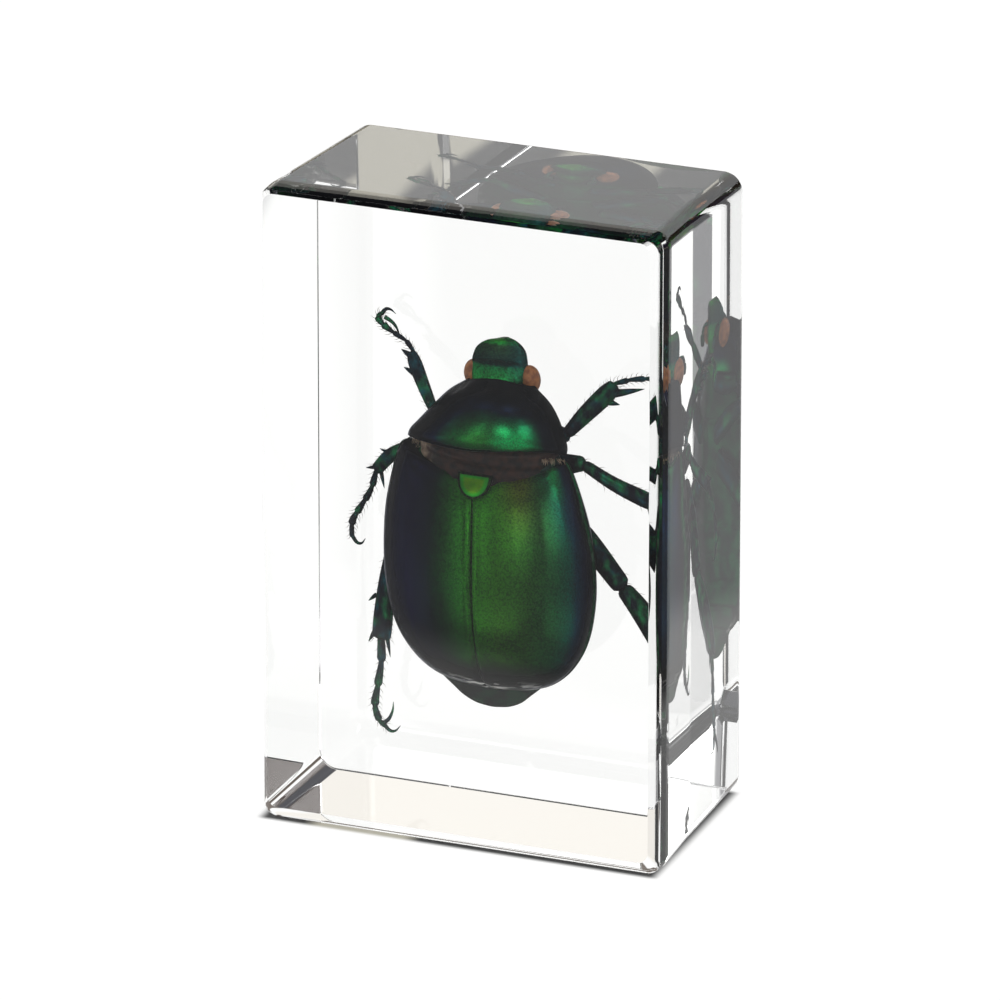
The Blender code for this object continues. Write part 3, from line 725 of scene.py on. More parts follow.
def body_rings(table, rows, columns, middle):
    """Rings of one station table: x = half cos(a); above the side edge y = edge - (edge-back)
    sin(a), below it y = edge + (belly-edge)(1 - |cos(a)|^1.5)."""
    z, half, edge, back, belly = columns_of(table, rows)
    a = np.arange(columns)[None, :] * 2 * math.pi / columns
    across, lift = np.cos(a), np.sin(a)
    x = middle + half * across
    over = edge - (edge - back) * np.abs(lift)
    under = edge + (belly - edge) * (1 - np.abs(across) ** 1.5)
    y = np.where(lift >= 0, over, under)
    return np.stack((x, y, z + 0 * across), axis=-1), across + 0 * z, lift + 0 * z


def trunk_surface():
    """The trunk's rings. On the belly each groove is a bell, each ring rises to its hind edge
    by a straight step, and a fine line marks the keel."""
    grid, across, lift = body_rings(TRUNK, 170, 96, MID_X)
    z = grid[..., 2]
    bowed = z + 0.5 * across ** 2
    grooves = sum(bell(bowed, at, 0.13) for at in BELLY_GROOVES)
    steps = sum(np.clip((bowed - at) / 1.6, 0, 1) * (bowed - at < 1.6) for at in BELLY_GROOVES[2:])
    belly = np.clip(-lift * 3, 0, 1)
    keel_line = bell(across, 0, 0.03) * (z > -1.4) * (z < 2.9)
    grid[..., 1] -= belly * (0.16 * grooves + 0.10 * steps + 0.14 * keel_line)
    return grid


trunk = make_piece("beetle_trunk", [sheet_part(trunk_surface())], belly_dark)

# %% [markdown]
# ## The wing cases
#
# Each wing case is half a dome. It rises from the groove on the middle line, bulges at the
# shoulder and again near the tip, carries three faint ribs, and ends in a thin raised rim
# along the side. Under the rim it curls in and closes as a thin shell. A cut sphere would be
# close, but a formula makes the two sides true mirror images and gives every point its place.

# %% Wing cases
# height, half width, then the depths of the side edge and the crest
WING_CASES = (
    (3.75, 5.4, 2.1, 0.3), (3.45, 5.85, 2.05, -1.2), (1.9, 6.42, 2.05, -2.35),
    (-1.05, 7.12, 2.1, -3.2), (-4.4, 7.36, 2.15, -3.8), (-7.0, 7.12, 2.15, -3.7),
    (-8.95, 6.58, 2.2, -3.1), (-10.45, 5.72, 2.35, -2.2), (-11.5, 4.72, 2.5, -1.1),
    (-12.2, 3.6, 2.65, 0.3), (-12.6, 2.2, 2.75, 1.6), (-12.8, 0.9, 2.8, 2.3),
)
BASE_SAG = 1.05


def wing_case_surface(side, rows=150, columns=90):
    """x = half sin(a), y = edge - (edge-back) cos(a)^0.92 for a from 0 to 90 degrees, less the
    bumps: seam, ribs, shoulder and tip, side rim and rolled base. Then four columns run back
    to the middle line and close the thin shell."""
    z, half, edge, back = columns_of(WING_CASES, rows)
    v = np.linspace(0, 1, rows)[:, None]
    a = np.linspace(0, math.pi / 2, columns)[None, :]
    u = a / (math.pi / 2)
    out = half * np.sin(a)
    y = edge - (edge - back) * np.cos(a) ** 0.92
    y += 0.15 * bell(out, 0, 0.09) - 0.05 * bell(out, 0.33, 0.16)
    fade = np.clip(v / 0.08, 0, 1) * np.clip((0.7 - v) / 0.15, 0, 1)
    y -= 0.02 * fade * (bell(u, 0.28, 0.04) + bell(u, 0.47, 0.04) + bell(u, 0.66, 0.04))
    y -= 0.22 * bell(u, 0.62, 0.10) * bell(v, 0.10, 0.07) + 0.14 * bell(u, 0.45, 0.14) * bell(v, 0.64, 0.05)
    y -= 0.12 * bell(u, 0.955, 0.022) - 0.05 * bell(u, 0.90, 0.03)
    out = out + 0.06 * bell(u, 0.965, 0.02)
    rolled = np.clip(1 - v / 0.035, 0, 1) ** 2
    y = y + 0.55 * rolled
    sag = BASE_SAG * np.cos(a) ** 1.5 * np.clip((z + 2.0) / 5.5, 0, 1)
    middle = -0.12 - 0.03 * (z + 4.5) - 0.002 * (z + 4.5) ** 2
    dome = np.stack((middle + side * out, y, z - sag), axis=-1)
    inner_u = np.array((0.97, 0.86, 0.5, 0.0))
    inner = np.stack((middle + side * half * inner_u, edge + (0.22, 0.35, 0.35, 0.35) + 0 * z,
                      z - sag[:, :1] * (1 - inner_u)), axis=-1)
    inner[:, -1, 0] = middle[:, 0] - side * 0.02
    grid = np.concatenate((dome, inner), axis=1)
    across = side * np.concatenate((np.sin(a[0]) * 0.35 + u[0] * 0.65, (1.0, 0.9, 0.5, 0.0)))
    place = np.stack(np.broadcast_arrays(across[None, :], v), axis=-1)
    return sheet_part(grid, place=place)


wing_cases = make_piece("wing_cases", [wing_case_surface(-1), wing_case_surface(1)], wing_green)
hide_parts("beetle")

# %% [markdown]
# ## The neck shield
#
# The shield is a plate between four curves: a left and a right outline, a hind margin and a
# front margin. On this specimen it is turned a little to the right. Rings run round the plate
# and under it, so that it is closed, and its sides carry a fine raised rim. Spanning it between
# its own outlines keeps the turn, which a symmetric form would lose.

# %% Neck shield
SHIELD_LEFT = ((-5.95, 3.95), (-5.75, 4.5), (-5.2, 5.15), (-4.2, 6.3), (-3.1, 7.45), (-1.95, 8.25))
SHIELD_RIGHT = ((5.02, 3.95), (5.1, 4.5), (4.9, 5.3), (4.5, 6.4), (3.9, 7.4), (2.95, 8.3))
SHIELD_BACK = ((-1.55,), (-2.2,), (-2.38,), (-2.0,), (-1.1,), (0.9,))
SHIELD_EDGE, SHIELD_BELLY = 2.5, 4.4


def shield_surface(rows=110, columns=160):
    """At share v from the hind to the front margin: x runs from the left to the right outline,
    y = edge - (edge-back) sqrt(1-s^2), and z adds the margins' own curves."""
    lx, lz = columns_of(SHIELD_LEFT, rows)
    rx, rz = columns_of(SHIELD_RIGHT, rows)
    back = columns_of(SHIELD_BACK, rows)[0]
    v = np.linspace(0, 1, rows)[:, None]
    a = np.arange(columns)[None, :] * 2 * math.pi / columns
    s, lift = np.cos(a), np.sin(a)
    x = (lx + rx) / 2 + (rx - lx) / 2 * s
    hind = (0.75 + 0.3 * s) * np.sqrt(1 - s ** 2) - 0.45 * bell(s, -0.05, 0.6) * (1 - s ** 8)
    front = 0.62 * (1 - s ** 2)
    z = (lz + rz) / 2 + (rz - lz) / 2 * s + hind * (1 - v) ** 2 + front * v ** 2
    over = SHIELD_EDGE - (SHIELD_EDGE - back) * np.abs(lift) ** 0.96
    over += 0.35 * np.clip(1 - v / 0.035, 0, 1) ** 2 - 0.03 * bell(v, 0.05, 0.018)
    over -= 0.06 * bell(np.abs(s), 0.985, 0.012) * (lift > 0)
    under = SHIELD_EDGE + (SHIELD_BELLY - SHIELD_EDGE) * (1 - np.abs(s) ** 1.5)
    y = np.where(lift >= 0, over, under)
    place = np.stack(np.broadcast_arrays(s, v), axis=-1)
    return sheet_part(np.stack(np.broadcast_arrays(x, y, z), axis=-1), place=place)


shield = make_piece("neck_shield", [shield_surface()], shield_green)

# %% [markdown]
# ## Neck skin and triangle
#
# Behind the shield a band of brown skin joins the front body to the trunk. The small triangle
# between the wing cases, here almost half a disc, is a slightly domed plate. Both reuse the
# ways above: the skin is rings from a table, the plate is rings that shrink to its middle.

# %% Neck skin and triangle
NECK = (
    (5.1, 4.5, 2.4, -1.2, 4.2), (4.3, 4.75, 2.35, -1.5, 4.3), (3.6, 4.85, 2.3, -1.35, 4.3),
    (3.0, 4.9, 2.3, -1.45, 4.3), (2.3, 5.0, 2.3, -1.7, 4.3),
)


def neck_surface():
    """The skin's rings, wrinkled on the back by two sines and sagging by half a millimetre."""
    grid, across, lift = body_rings(NECK, 40, 120, MID_X)
    folds = 0.05 * np.sin(grid[..., 2] * 9 + 2 * across) + 0.04 * np.sin(across * 23)
    grid[..., 1] += folds * (lift > 0)
    grid[..., 2] -= 0.5 * np.sqrt(np.clip(1 - across ** 2, 0, 1)) * (lift > 0)
    place = np.stack((across, np.linspace(0, 1, 40)[:, None] + 0 * across), axis=-1)
    return sheet_part(grid, place=place)


def triangle_surface(rows=26, columns=64):
    """Rings shrink from the half-disc outline to its middle while y rises as a shallow dome.
    The first two rings drop away behind the outline and give the plate its thickness."""
    a = np.linspace(0, math.pi, columns // 2)
    edge_x = np.concatenate((np.cos(a), np.linspace(-1, 1, columns // 2 + 2)[1:-1]))
    edge_z = np.concatenate((np.sin(a) ** 0.8, np.zeros(columns // 2)))
    t = np.concatenate(([1.0, 1.0], np.linspace(1, 0.04, rows)))[:, None]
    drop = np.concatenate(([1.0, 0.35], np.zeros(rows)))[:, None]
    x = MID_X - 0.1 + 1.18 * edge_x * t
    down = 0.42 + (edge_z - 0.42) * t
    z = 2.78 - 1.5 * down
    y = -1.62 - 0.92 * down - 0.14 * (1 - t ** 2) + drop
    place = np.stack(np.broadcast_arrays(0.5 + 0.5 * edge_x * t, t), axis=-1)
    return sheet_part(np.stack(np.broadcast_arrays(x, y, z), axis=-1), place=place)


neck = make_piece("neck_skin", [neck_surface()], skin_brown)
triangle = make_piece("shell_triangle", [triangle_surface()], triangle_green)

# %% [markdown]
# ## The head
#
# Seen from its back the head is a short blunt shovel: a bright brow behind, a groove, then the
# flat front plate with its thin upturned rim. An eye sits on either side. The head is rings
# from a table like the trunk, and the eyes are plain ellipsoids, half sunk into it.

# %% Head and eyes
HEAD = (
    (7.45, 1.75, 3.4, 1.8, 4.6), (8.6, 2.0, 3.3, 1.7, 4.7), (9.45, 1.95, 3.4, 2.15, 4.6),
    (9.9, 1.88, 3.5, 2.72, 4.6), (10.35, 1.72, 3.7, 2.95, 4.5), (10.7, 1.38, 3.85, 3.15, 4.45),
    (10.95, 0.92, 3.95, 3.3, 4.4), (11.08, 0.42, 4.0, 3.55, 4.3),
)
HEAD_X = 0.18
EYES = (((-1.60, 3.35, 8.6), (0.70, 0.85, 0.92)), ((2.26, 3.35, 8.62), (0.74, 0.85, 0.98)))


def head_surface(rows=90, columns=96):
    """The head's rings. On the back a bell sinks the seam, two raise the rim and one hollows
    the front plate; the right side stands a little further forward."""
    grid, across, lift = body_rings(HEAD, rows, columns, HEAD_X)
    z = grid[..., 2].copy()
    v = np.linspace(0, 1, rows)[:, None]
    top = np.clip(lift * 4, 0, 1)
    seam = bell(z + 0.25 * across ** 2, 9.85, 0.08)
    rim = np.maximum(bell(np.abs(across), 0.97, 0.05) * (v > 0.5), bell(v, 0.97, 0.03))
    dish = bell(z, 10.45, 0.35) * np.clip(1 - across ** 2, 0, 1)
    grid[..., 1] += top * (0.10 * seam - 0.12 * rim + 0.10 * dish)
    grid[..., 2] += 0.10 * across * np.clip(v, 0, 1)
    share = (z - 8.2) / (11.08 - 8.2)
    place = np.stack((across, np.clip(share, 0, 1)), axis=-1)
    return sheet_part(grid, place=place)


def ball_surface(centre, radii, rows=28, columns=40):
    """An ellipsoid: centre + radii * (cos b cos a, cos b sin a, sin b)."""
    b = np.linspace(-math.pi / 2 + 0.05, math.pi / 2 - 0.05, rows)[:, None]
    a = np.arange(columns)[None, :] * 2 * math.pi / columns
    unit = np.stack(np.broadcast_arrays(np.cos(b) * np.cos(a), np.cos(b) * np.sin(a), np.sin(b)), axis=-1)
    return sheet_part(np.array(centre) + unit * np.array(radii))


head = make_piece("head", [head_surface()], head_green)
eyes = make_piece("eyes", [ball_surface(centre, radii) for centre, radii in EYES], eye_orange)

# %% [markdown]
# ## Limbs
#
# Legs are flattened tubes along a curved path: at each point a ring is laid square to the
# path, its width across and its thickness in depth. The foot has five segments, each narrow
# at its root and wide at its end, and the last one carries hooked claws. Teeth and spurs are
# short tubes that run out to a point. A bevelled curve would be simpler, but it is always round.

# %% Limb surfaces
def tube_surface(path, half, flat, columns):
    """Rings square to the path: point + half (cos a across + flat sin a out)."""
    ahead = np.gradient(path, axis=0)
    ahead /= np.linalg.norm(ahead, axis=1)[:, None]
    across = np.cross(ahead, (0.0, 1.0, 0.0))
    across /= np.linalg.norm(across, axis=1)[:, None]
    out = np.cross(across, ahead)
    a = (np.arange(columns) + 0.5) * 2 * math.pi / columns
    ring = across[:, None, :] * np.cos(a)[None, :, None] + out[:, None, :] * (flat * np.sin(a))[None, :, None]
    return path[:, None, :] + ring * half[:, None, None]


def limb_part(nodes, flat, rows=34, columns=18):
    """A thigh or shin through its nodes, with round ends."""
    table = along(nodes, rows)
    t = np.linspace(0, 1, rows)
    half = table[:, 3] * np.sqrt(np.clip(1 - np.clip((0.06 - t) / 0.06, 0, 1) ** 2 * 0.8, 0, 1))
    half *= np.sqrt(np.clip(1 - np.clip((t - 0.95) / 0.05, 0, 1) ** 2 * 0.8, 0, 1))
    return sheet_part(tube_surface(table[:, :3], half, flat, columns))


def foot_part(nodes, segments=5, rows=60, columns=14):
    """The foot: inside each segment the half width grows as 0.58 + 0.5 share^0.8, so that every
    joint shows as a step."""
    table = along(nodes, rows)
    t = np.linspace(0, segments * 0.9999, rows)
    share = t - np.floor(t)
    half = table[:, 3] * (0.58 + 0.50 * share ** 0.8)
    half *= np.where(share > 0.93, 0.85, 1.0)
    return sheet_part(tube_surface(table[:, :3], half, 0.9, columns))


def spike_part(root, tip, radius, rows=8, columns=9):
    """A tooth or spur: the radius falls as (1 - share^1.6) from root to tip."""
    root, tip = np.array(root, float), np.array(tip, float)
    t = np.linspace(-0.15, 0.985, rows)
    path = root + (tip - root) * t[:, None]
    return sheet_part(tube_surface(path, radius * (1 - np.clip(t, 0, 1) ** 1.6) + 0.01, 1.0, columns))


def claw_part(points, radius=0.14, rows=22, columns=9):
    """A hooked claw: a curve through its points, thinning as (1 - share^1.5)."""
    path = along(points, rows)
    t = np.linspace(0, 0.985, rows)
    return sheet_part(tube_surface(path, radius * (1 - t ** 1.5) + 0.012, 1.0, columns))


print("a limb has", len(limb_part(((0, 0, 0, 1), (0, 0, 1, 1)), 1.0)[0]), "points")

# %% [markdown]
# The six legs' joints, in millimetres. No two legs dried in the same position and the right ones
# reach further out, so each leg has its own table instead of a mirrored copy.

# %% Leg tables
# femur, tibia and tarsus: x, y, z, half width; teeth: root, tip, radius; claws: points
LEGS = {
    "front_left": {
        "femur": ((-0.8, 3.9, 5.55, 0.7), (-2.75, 3.4, 5.4, 0.75), (-4.5, 2.8, 5.7, 0.45)),
        "tibia": ((-4.3, 2.8, 5.7, 0.35), (-5.15, 3.5, 7.1, 0.46), (-6.0, 4.5, 8.35, 0.5),
                  (-6.4, 4.95, 9.05, 0.32)),
        "tarsus": ((-6.25, 4.95, 9.1, 0.2), (-6.75, 4.9, 9.75, 0.19), (-7.6, 4.9, 10.2, 0.2),
                   (-8.35, 4.95, 10.65, 0.26), (-8.75, 5.1, 11.05, 0.24), (-8.5, 5.1, 11.4, 0.13)),
        "teeth": (((-6.0, 4.1, 7.8), (-6.75, 4.2, 8.1), 0.2),
                  ((-6.4, 4.8, 8.8), (-7.1, 4.9, 9.15), 0.22)),
        "claws": (((-8.5, 5.1, 11.35), (-8.2, 5.1, 11.7), (-7.85, 5.1, 11.7), (-7.5, 5.1, 11.45)),
                  ((-8.3, 5.1, 11.15), (-7.75, 5.1, 10.85), (-7.4, 5.1, 10.4), (-7.2, 5.1, 9.75))),
    },
    "middle_left": {
        "femur": ((-1.55, 4.6, 1.8, 0.75), (-3.95, 3.8, 2.4, 0.8), (-6.05, 3.0, 3.1, 0.5)),
        "tibia": ((-5.85, 3.0, 3.1, 0.4), (-7.4, 3.2, 2.15, 0.47), (-8.55, 3.5, 0.85, 0.42)),
        "tarsus": ((-8.5, 3.5, 0.9, 0.24), (-8.9, 3.5, -0.5, 0.24), (-9.6, 3.5, -1.75, 0.24),
                   (-10.2, 3.5, -2.85, 0.26), (-10.25, 3.5, -3.95, 0.16)),
        "teeth": (((-8.55, 3.5, 1.1), (-9.25, 3.5, 0.95), 0.14),
                  ((-8.15, 3.5, 0.7), (-7.95, 3.5, -0.3), 0.14),
                  ((-7.5, 3.2, 2.25), (-8.2, 3.2, 2.5), 0.14)),
        "claws": (((-10.25, 3.5, -3.85), (-9.9, 3.5, -4.3), (-9.55, 3.5, -4.3), (-9.3, 3.5, -3.95)),),
    },
    "hind_left": {
        "femur": ((-1.75, 4.6, -1.6, 0.85), (-5.0, 4.2, -3.0, 0.95), (-7.5, 3.4, -4.4, 0.55)),
        "tibia": ((-7.4, 3.4, -4.3, 0.42), (-7.8, 3.4, -6.8, 0.55), (-8.05, 3.5, -9.2, 0.68),
                  (-8.2, 3.5, -10.8, 0.66)),
        "tarsus": ((-8.2, 3.5, -10.6, 0.4), (-8.2, 3.5, -12.35, 0.3), (-8.45, 3.5, -14.05, 0.29),
                   (-8.65, 3.5, -15.45, 0.29), (-8.35, 3.5, -16.45, 0.25), (-7.9, 3.5, -16.85, 0.15)),
        "teeth": (((-8.7, 3.5, -10.4), (-9.1, 3.5, -11.1), 0.16),
                  ((-7.8, 3.5, -10.5), (-7.55, 3.5, -12.0), 0.16),
                  ((-8.6, 3.5, -7.8), (-9.1, 3.5, -8.25), 0.14)),
        "claws": (((-8.05, 3.5, -16.65), (-7.65, 3.5, -16.25), (-7.4, 3.5, -15.65), (-7.35, 3.5, -15.05)),
                  ((-8.0, 3.5, -16.75), (-7.6, 3.5, -17.1), (-7.2, 3.5, -17.05), (-6.85, 3.5, -16.65))),
    },
    "front_right": {
        "femur": ((1.3, 4.2, 5.5, 0.7), (3.35, 3.6, 5.2, 0.75), (5.1, 2.8, 5.3, 0.45)),
        "tibia": ((4.9, 2.8, 5.3, 0.38), (6.1, 3.3, 6.75, 0.56), (7.45, 3.8, 8.25, 0.62),
                  (8.05, 3.9, 9.0, 0.4)),
        "tarsus": ((7.95, 3.9, 9.0, 0.2), (9.25, 3.7, 9.5, 0.2), (10.7, 3.5, 9.8, 0.21),
                   (11.7, 3.4, 9.9, 0.24), (12.4, 3.3, 9.5, 0.18)),
        "teeth": (((7.55, 3.8, 7.75), (8.4, 3.8, 7.65), 0.24), ((8.05, 3.9, 8.35), (10.1, 3.9, 8.95), 0.26)),
        "claws": (((12.3, 3.3, 9.55), (12.7, 3.2, 9.4), (12.9, 3.2, 9.0), (12.8, 3.2, 8.5)),
                  ((12.25, 3.2, 9.4), (12.35, 3.0, 9.0), (12.3, 3.0, 8.5), (12.1, 3.0, 8.1))),
    },
    "middle_right": {
        "femur": ((1.8, 4.6, 1.8, 0.75), (4.0, 3.8, 2.9, 0.8), (6.25, 2.6, 3.6, 0.5)),
        "tibia": ((6.1, 2.6, 3.55, 0.4), (8.2, 2.9, 2.4, 0.5), (10.1, 3.3, 1.6, 0.58),
                  (10.9, 3.4, 1.3, 0.5)),
        "tarsus": ((10.9, 3.4, 1.3, 0.26), (11.65, 3.6, 0.05, 0.25), (12.1, 3.7, -1.3, 0.25),
                   (12.4, 3.7, -2.5, 0.26), (12.2, 3.7, -3.4, 0.16)),
        "teeth": (((10.8, 3.4, 1.7), (11.6, 3.4, 1.8), 0.15),
                  ((10.6, 3.4, 1.0), (10.7, 3.4, -0.2), 0.15)),
        "claws": (((12.25, 3.7, -3.3), (12.0, 3.7, -3.8), (11.6, 3.7, -3.9), (11.3, 3.7, -3.6)),),
    },
    "hind_right": {
        "femur": ((2.2, 4.6, 0.4, 0.85), (5.5, 3.9, -1.4, 0.85), (9.0, 2.6, -4.6, 0.7)),
        "tibia": ((8.9, 2.6, -4.5, 0.58), (10.4, 2.7, -6.3, 0.78), (11.6, 3.1, -8.6, 0.70),
                  (11.75, 3.7, -10.3, 0.5)),
        "tarsus": ((11.4, 3.7, -10.2, 0.32), (11.55, 3.8, -12.2, 0.28), (11.7, 3.8, -13.9, 0.27),
                   (11.95, 3.8, -15.3, 0.27), (12.15, 3.8, -16.3, 0.2)),
        "teeth": (((11.7, 3.7, -10.0), (12.3, 3.7, -10.7), 0.16),
                  ((11.0, 3.7, -10.1), (10.9, 3.7, -11.5), 0.16)),
        "claws": (((12.1, 3.7, -16.2), (12.25, 3.6, -16.8), (12.1, 3.5, -17.2), (11.75, 3.4, -17.3)),
                  ((12.15, 3.9, -16.2), (12.4, 4.0, -16.7), (12.5, 4.1, -17.2), (12.3, 4.2, -17.5))),
    },
}
FLAT = {"femur": 0.8, "tibia": 0.75}


def leg_parts(leg):
    """All of one leg's surfaces: thigh, shin, foot, teeth and claws."""
    parts = [limb_part(leg["femur"], FLAT["femur"]), limb_part(leg["tibia"], FLAT["tibia"]),
             foot_part(leg["tarsus"])]
    parts += [spike_part(*tooth) for tooth in leg["teeth"]]
    parts += [claw_part(points) for points in leg["claws"]]
    return parts


for name, leg in LEGS.items():
    make_piece("leg_" + name, leg_parts(leg), leg_dark)

# %% [markdown]
# ## Bristles, fringe and feelers
#
# Every bristle is a thin tapered prism with three sides, since a round one would be wasted on
# something this fine. Blender's hair would be easier, but it isn't a mesh that can be kept. All
# bristles of a kind are worked out together as one array of roots and tips.

# %% Bristles
BRISTLE_BEND, BRISTLE_SLANT, BRISTLE_WIDTH = 0.12, 0.9, 0.022
BRISTLES = {"femur": (14, 0.32), "tibia": (30, 0.42), "tarsus": (34, 0.36)}


def bristles_part(roots, tips, width):
    """Three-sided prisms in three rows from root to tip, bent sideways by a share of length."""
    line = tips - roots
    length = np.linalg.norm(line, axis=1, keepdims=True)
    ahead = line / length
    side = np.cross(ahead, (0.31, 0.85, 0.42))
    side /= np.linalg.norm(side, axis=1, keepdims=True)
    other = np.cross(ahead, side)
    a = np.arange(3) * 2 * math.pi / 3
    ring = side[:, None, :] * np.cos(a)[None, :, None] + other[:, None, :] * np.sin(a)[None, :, None]
    rows = []
    for share, thick in ((0.0, 1.0), (0.5, 0.7), (1.0, 0.12)):
        centre = roots + line * share + side * length * BRISTLE_BEND * math.sin(share * math.pi)
        rows.append(centre[:, None, :] + ring * (width * thick))
    points = np.stack(rows, axis=1).reshape(-1, 3)
    cell = np.array([[r * 3 + k, r * 3 + (k + 1) % 3, (r + 1) * 3 + (k + 1) % 3, (r + 1) * 3 + k]
                     for r in range(2) for k in range(3)] + [[0, 2, 1, 1], [6, 7, 8, 8]])
    faces = (np.arange(len(roots))[:, None, None] * 9 + cell[None]).reshape(-1, 4)
    along_it = np.tile(np.repeat((0.0, 0.5, 1.0), 3), len(roots))
    return points, faces, np.column_stack((np.zeros(len(points)), along_it))


def limb_bristles(nodes, count, length, rng):
    """Bristles on both edges of a limb, leaning towards its far end."""
    table = along(nodes, count)
    ahead = np.gradient(table[:, :3], axis=0)
    ahead /= np.linalg.norm(ahead, axis=1)[:, None]
    across = np.cross(ahead, (0.0, 1.0, 0.0))
    sign = np.where(np.arange(count) % 2 == 0, 1.0, -1.0)[:, None]
    depth = np.array((0.0, 1.0, 0.0)) * rng.uniform(-0.5, 0.5, (count, 1))
    out = across * sign + depth
    roots = table[:, :3] + out * table[:, 3:4] * 0.75
    reach = length * rng.uniform(0.6, 1.3, (count, 1))
    return roots, roots + (out * 0.8 + ahead * BRISTLE_SLANT) * reach


rng = np.random.default_rng(7)
hairs = [limb_bristles(leg[part], *BRISTLES[part], rng) for leg in LEGS.values() for part in BRISTLES]
hair_roots, hair_tips = (np.vstack(ends) for ends in zip(*hairs))
bristles = make_piece("leg_bristles", [bristles_part(hair_roots, hair_tips, BRISTLE_WIDTH)], bristle_brown)

# %% [markdown]
# The fringe behind the shield is the same prism, a little thicker, in two rows of hairs that
# all lean one way: many at the left end of the skin, a few at the right.

# %% Fringe
FRINGE_WIDTH = 0.028


def fringe_part(count, start, end, lean_to, length, rng):
    """A row of hairs from start to end, leaning one way, each a little different."""
    t = np.sort(rng.uniform(0, 1, (count, 1)), axis=0)
    roots = np.array(start) * (1 - t) + np.array(end) * t + rng.normal(0, 0.06, (count, 3))
    lean_each = np.array(lean_to) + rng.normal(0, 0.22, (count, 3))
    return bristles_part(roots, roots + lean_each * length * rng.uniform(0.6, 1.2, (count, 1)), FRINGE_WIDTH)


left_fringe = fringe_part(90, (-5.5, 2.0, 3.95), (-3.2, 0.1, 4.0), (-0.35, -0.1, -0.8), 0.55, rng)
right_fringe = fringe_part(36, (3.9, 0.1, 4.1), (5.0, 1.9, 3.8), (0.3, 0.0, -0.8), 0.4, rng)
fringe = make_piece("tan_fringe", [left_fringe, right_fringe], fringe_tan)

# %% [markdown]
# Each feeler is folded under the head and ends in a small club of three leaves. It uses the
# limb's own tube, since at this size only the club shows, and only from below.

# %% Feelers
# x, y, z, half width
ANTENNAE = (
    ((-0.9, 3.6, 9.3, 0.14), (-1.3, 4.4, 9.3, 0.14), (-1.4, 4.7, 8.8, 0.2), (-1.2, 4.8, 8.0, 0.3)),
    ((1.35, 3.6, 9.3, 0.14), (1.7, 4.4, 9.3, 0.14), (1.8, 4.7, 8.8, 0.2), (1.6, 4.8, 8.0, 0.3)),
)


def feeler_parts(nodes):
    """A thin stalk through three nodes, then a club of three flat leaves side by side."""
    parts = [limb_part(nodes[:3], 1.0, rows=20, columns=10)]
    root, end = np.array(nodes[2][:3]), np.array(nodes[3][:3])
    for shift in (-0.16, 0.0, 0.16):
        middles = (root, root * 0.5 + end * 0.5, end)
        leaf = [(*(middle + (shift, 0, 0)), half) for middle, half in zip(middles, (0.11, 0.15, 0.1))]
        parts.append(limb_part(leaf, 1.6, rows=16, columns=12))
    return parts


feelers = make_piece("feelers", [part for nodes in ANTENNAE for part in feeler_parts(nodes)], leg_dark)

# %% [markdown]
# ## Studio
#
# A clear block shows little of itself and much of what surrounds it. So the table is a light
# box: it gives light of its own, an even white wherever the picture shows it. Outside the
# picture it has fields of other brightness, because the faces of the block mirror them or let
# them through: bright in front, dim in front on the right, and grey to dark beside the block.
# Under the block it is dark, a painted shadow of the block, with one beige grey patch of the same
# painted shadow that tints the lowest strip. Cards would do the same for what stands above the
# table, but nothing can stand below it.

# %% Floor
FLOOR_REACH, FLOOR_Z = 1.2, -0.0001
SCREEN_RIGHT = (0.924, 0.382)


def table_light(tree):
    """Metres in the ground's frame. level grows to the right of the picture and away from the
    camera; each field is a product of eased steps, mixed over the fields before it."""
    where = add(tree, "ShaderNodeTexCoord").outputs["Object"]
    x, y, z = add(tree, "ShaderNodeSeparateXYZ", {0: where}).outputs
    level = mix_of(tree, x, y, *SCREEN_RIGHT)
    away = mix_of(tree, y, x, SCREEN_RIGHT[0], -SCREEN_RIGHT[1])
    front = between(tree, away, -0.031, -0.039)
    right_of_block = between(tree, level, 0.034, 0.040)
    behind = both(tree, right_of_block, between(tree, mix_of(tree, x, y, 1.0, -0.40), 0.0045, 0.0065))
    before = both(tree, front, between(tree, mix_of(tree, x, y, 0.917, -0.4), -0.0054, -0.0022))
    beside = both(tree, right_of_block, between(tree, mix_of(tree, level, away, 0.8, -1.0), 0.019, 0.027))
    # painted shadow of the block: the table under it is dark, with a beige grey patch
    under = both(tree, between(tree, off(tree, x, -0.0005), 0.0143, 0.0134),
                 between(tree, off(tree, y, -0.0006), 0.0076, 0.0070))
    patch = both(tree, between(tree, x, -0.0115, -0.0100), between(tree, x, -0.003, -0.0045))
    block_shadow_colour = blend_colours(tree, patch, (0.02, 0.02, 0.02), (0.42, 0.40, 0.33))
    glow = blend_colours(tree, front, (0.96, 0.96, 0.955), (1.40, 1.40, 1.37))
    for field, colour in ((behind, (0.55, 0.55, 0.56)), (before, (0.30, 0.30, 0.31)),
                          (beside, (0.12, 0.12, 0.12)), (under, block_shadow_colour)):
        glow = blend_colours(tree, field, glow, colour)
    return glow


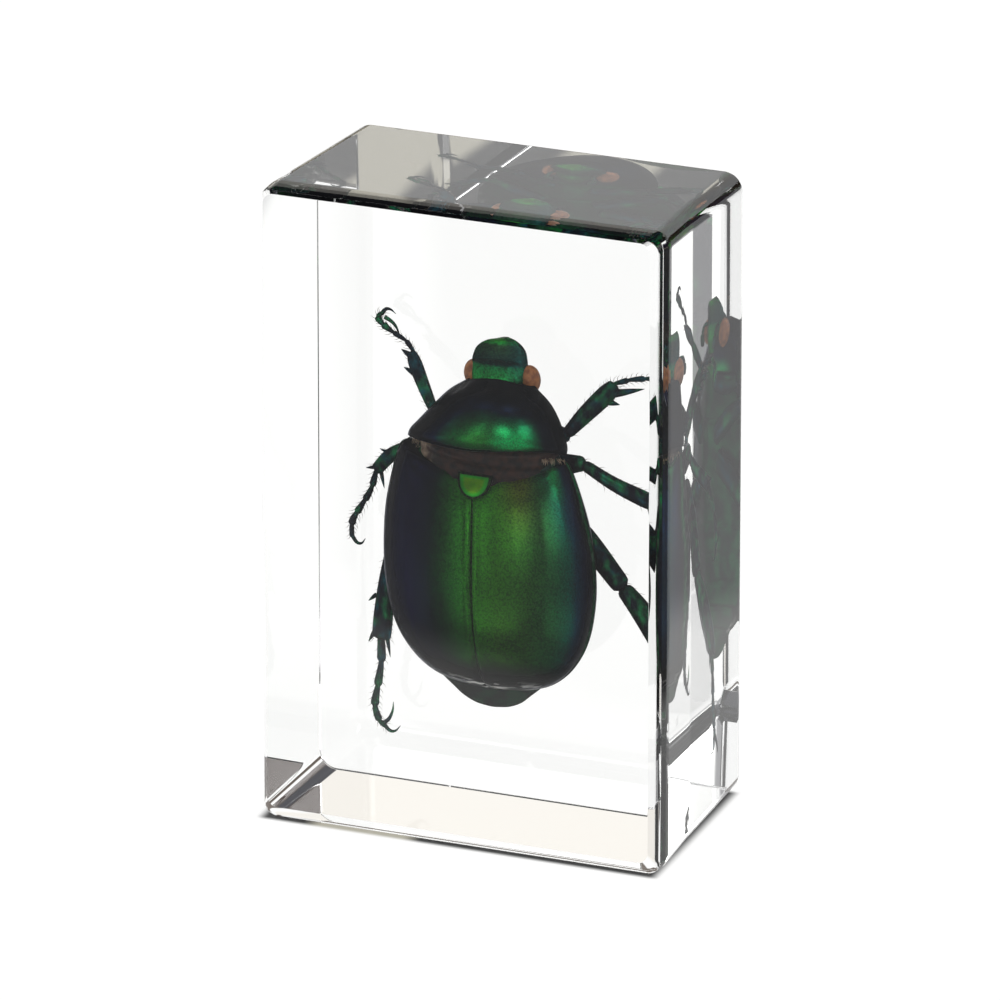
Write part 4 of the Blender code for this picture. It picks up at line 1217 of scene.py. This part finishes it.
def floor_piece():
    """A square table top, just below the block."""
    mesh = bpy.data.meshes.new("floor")
    corners = [(side_x * FLOOR_REACH, side_y * FLOOR_REACH, FLOOR_Z)
               for side_x, side_y in ((-1, -1), (1, -1), (1, 1), (-1, 1))]
    mesh.from_pydata(corners, [], [(0, 1, 2, 3)])
    material, tree, shader = new_finish("white_table", 0.0, 0.9, 0.0)
    tint = mottled(tree, 60.0, 2.0, 0.3, 0.7, (0.13, 0.13, 0.128), (0.15, 0.15, 0.15))
    tree.links.new(tint, shader.inputs["Base Color"])
    tree.links.new(table_light(tree), shader.inputs["Emission Color"])
    shader.inputs["Emission Strength"].default_value = 1.0
    mesh.materials.append(material)
    floor = bpy.data.objects.new("floor", mesh)
    bpy.context.scene.collection.objects.link(floor)
    return floor


print("table:", len(floor_piece().data.materials[0].node_tree.nodes), "nodes")

# %% [markdown]
# The room is a world whose light depends on the direction alone. It is white behind and grey in
# front, cream higher up behind, dark overhead, and brown low down behind. One large soft lamp
# in front on the right draws the bright green glow on the shell. Three weaker ones in front on
# the left lift the shadows and draw small glints. A dark brown card stands behind on the right.
# Lamps painted on a world need no stands, so the clear block shows none.

# %% Room and lamps
# azimuth from straight back to the right, elevation, inner and outer angle, colour
LAMPS = {
    "soft lamp": (128.0, 36.0, 12.0, 22.0, (5.0, 5.0, 5.0)),
    "fill": (-153.0, 18.0, 10.0, 20.0, (0.85, 0.85, 0.85)),
    "glint": (-158.0, 20.0, 6.0, 11.0, (3.5, 3.5, 3.4)),
    "overhead": (-147.0, 50.0, 12.0, 26.0, (1.5, 1.5, 1.5)),
    "brown card": (32.0, 27.7, 9.0, 11.0, (0.05, 0.028, 0.02)),
}


def toward(tree, direction, azimuth, elevation, inner, outer):
    """How closely a direction points at an azimuth and elevation: one inside the inner angle,
    nothing outside the outer one, all in degrees."""
    az, el = math.radians(azimuth), math.radians(elevation)
    aim = (math.sin(az) * math.cos(el), math.cos(az) * math.cos(el), math.sin(el))
    dot = add(tree, "ShaderNodeVectorMath", {0: direction, 1: aim}, operation="DOT_PRODUCT").outputs["Value"]
    return between(tree, dot, math.cos(math.radians(outer)), math.cos(math.radians(inner)))


def studio_world():
    """Walls by depth and height of the direction, then each lamp mixed over them."""
    world = bpy.data.worlds.new("studio")
    bpy.context.scene.world = world
    world.use_nodes = True
    tree = world.node_tree
    direction = add(tree, "ShaderNodeTexCoord").outputs["Generated"]
    split = add(tree, "ShaderNodeSeparateXYZ", {0: direction})
    depth, height = split.outputs[1], split.outputs[2]
    light = blend_colours(tree, between(tree, depth, 0.05, -0.25), (1.05, 1.05, 1.05), (0.30, 0.30, 0.31))
    cream = both(tree, between(tree, height, 0.34, 0.42), between(tree, depth, 0.1, 0.3))
    ceiling = between(tree, height, 0.48, 0.52)
    band = both(tree, between(tree, height, 0.19, 0.16), between(tree, depth, 0.2, 0.4))
    for field, colour in ((cream, (0.98, 0.94, 0.88)), (ceiling, (0.05, 0.05, 0.06)),
                          (band, (0.10, 0.07, 0.05))):
        light = blend_colours(tree, field, light, colour)
    for *aim, colour in LAMPS.values():
        light = blend_colours(tree, toward(tree, direction, *aim), light, colour)
    shade = tree.nodes["Background"]
    tree.links.new(light, shade.inputs["Color"])
    shade.inputs["Strength"].default_value = 1.0
    return world


bpy.context.scene.view_settings.view_transform = "Standard"
print("studio:", studio_world().name, "with", list(LAMPS))
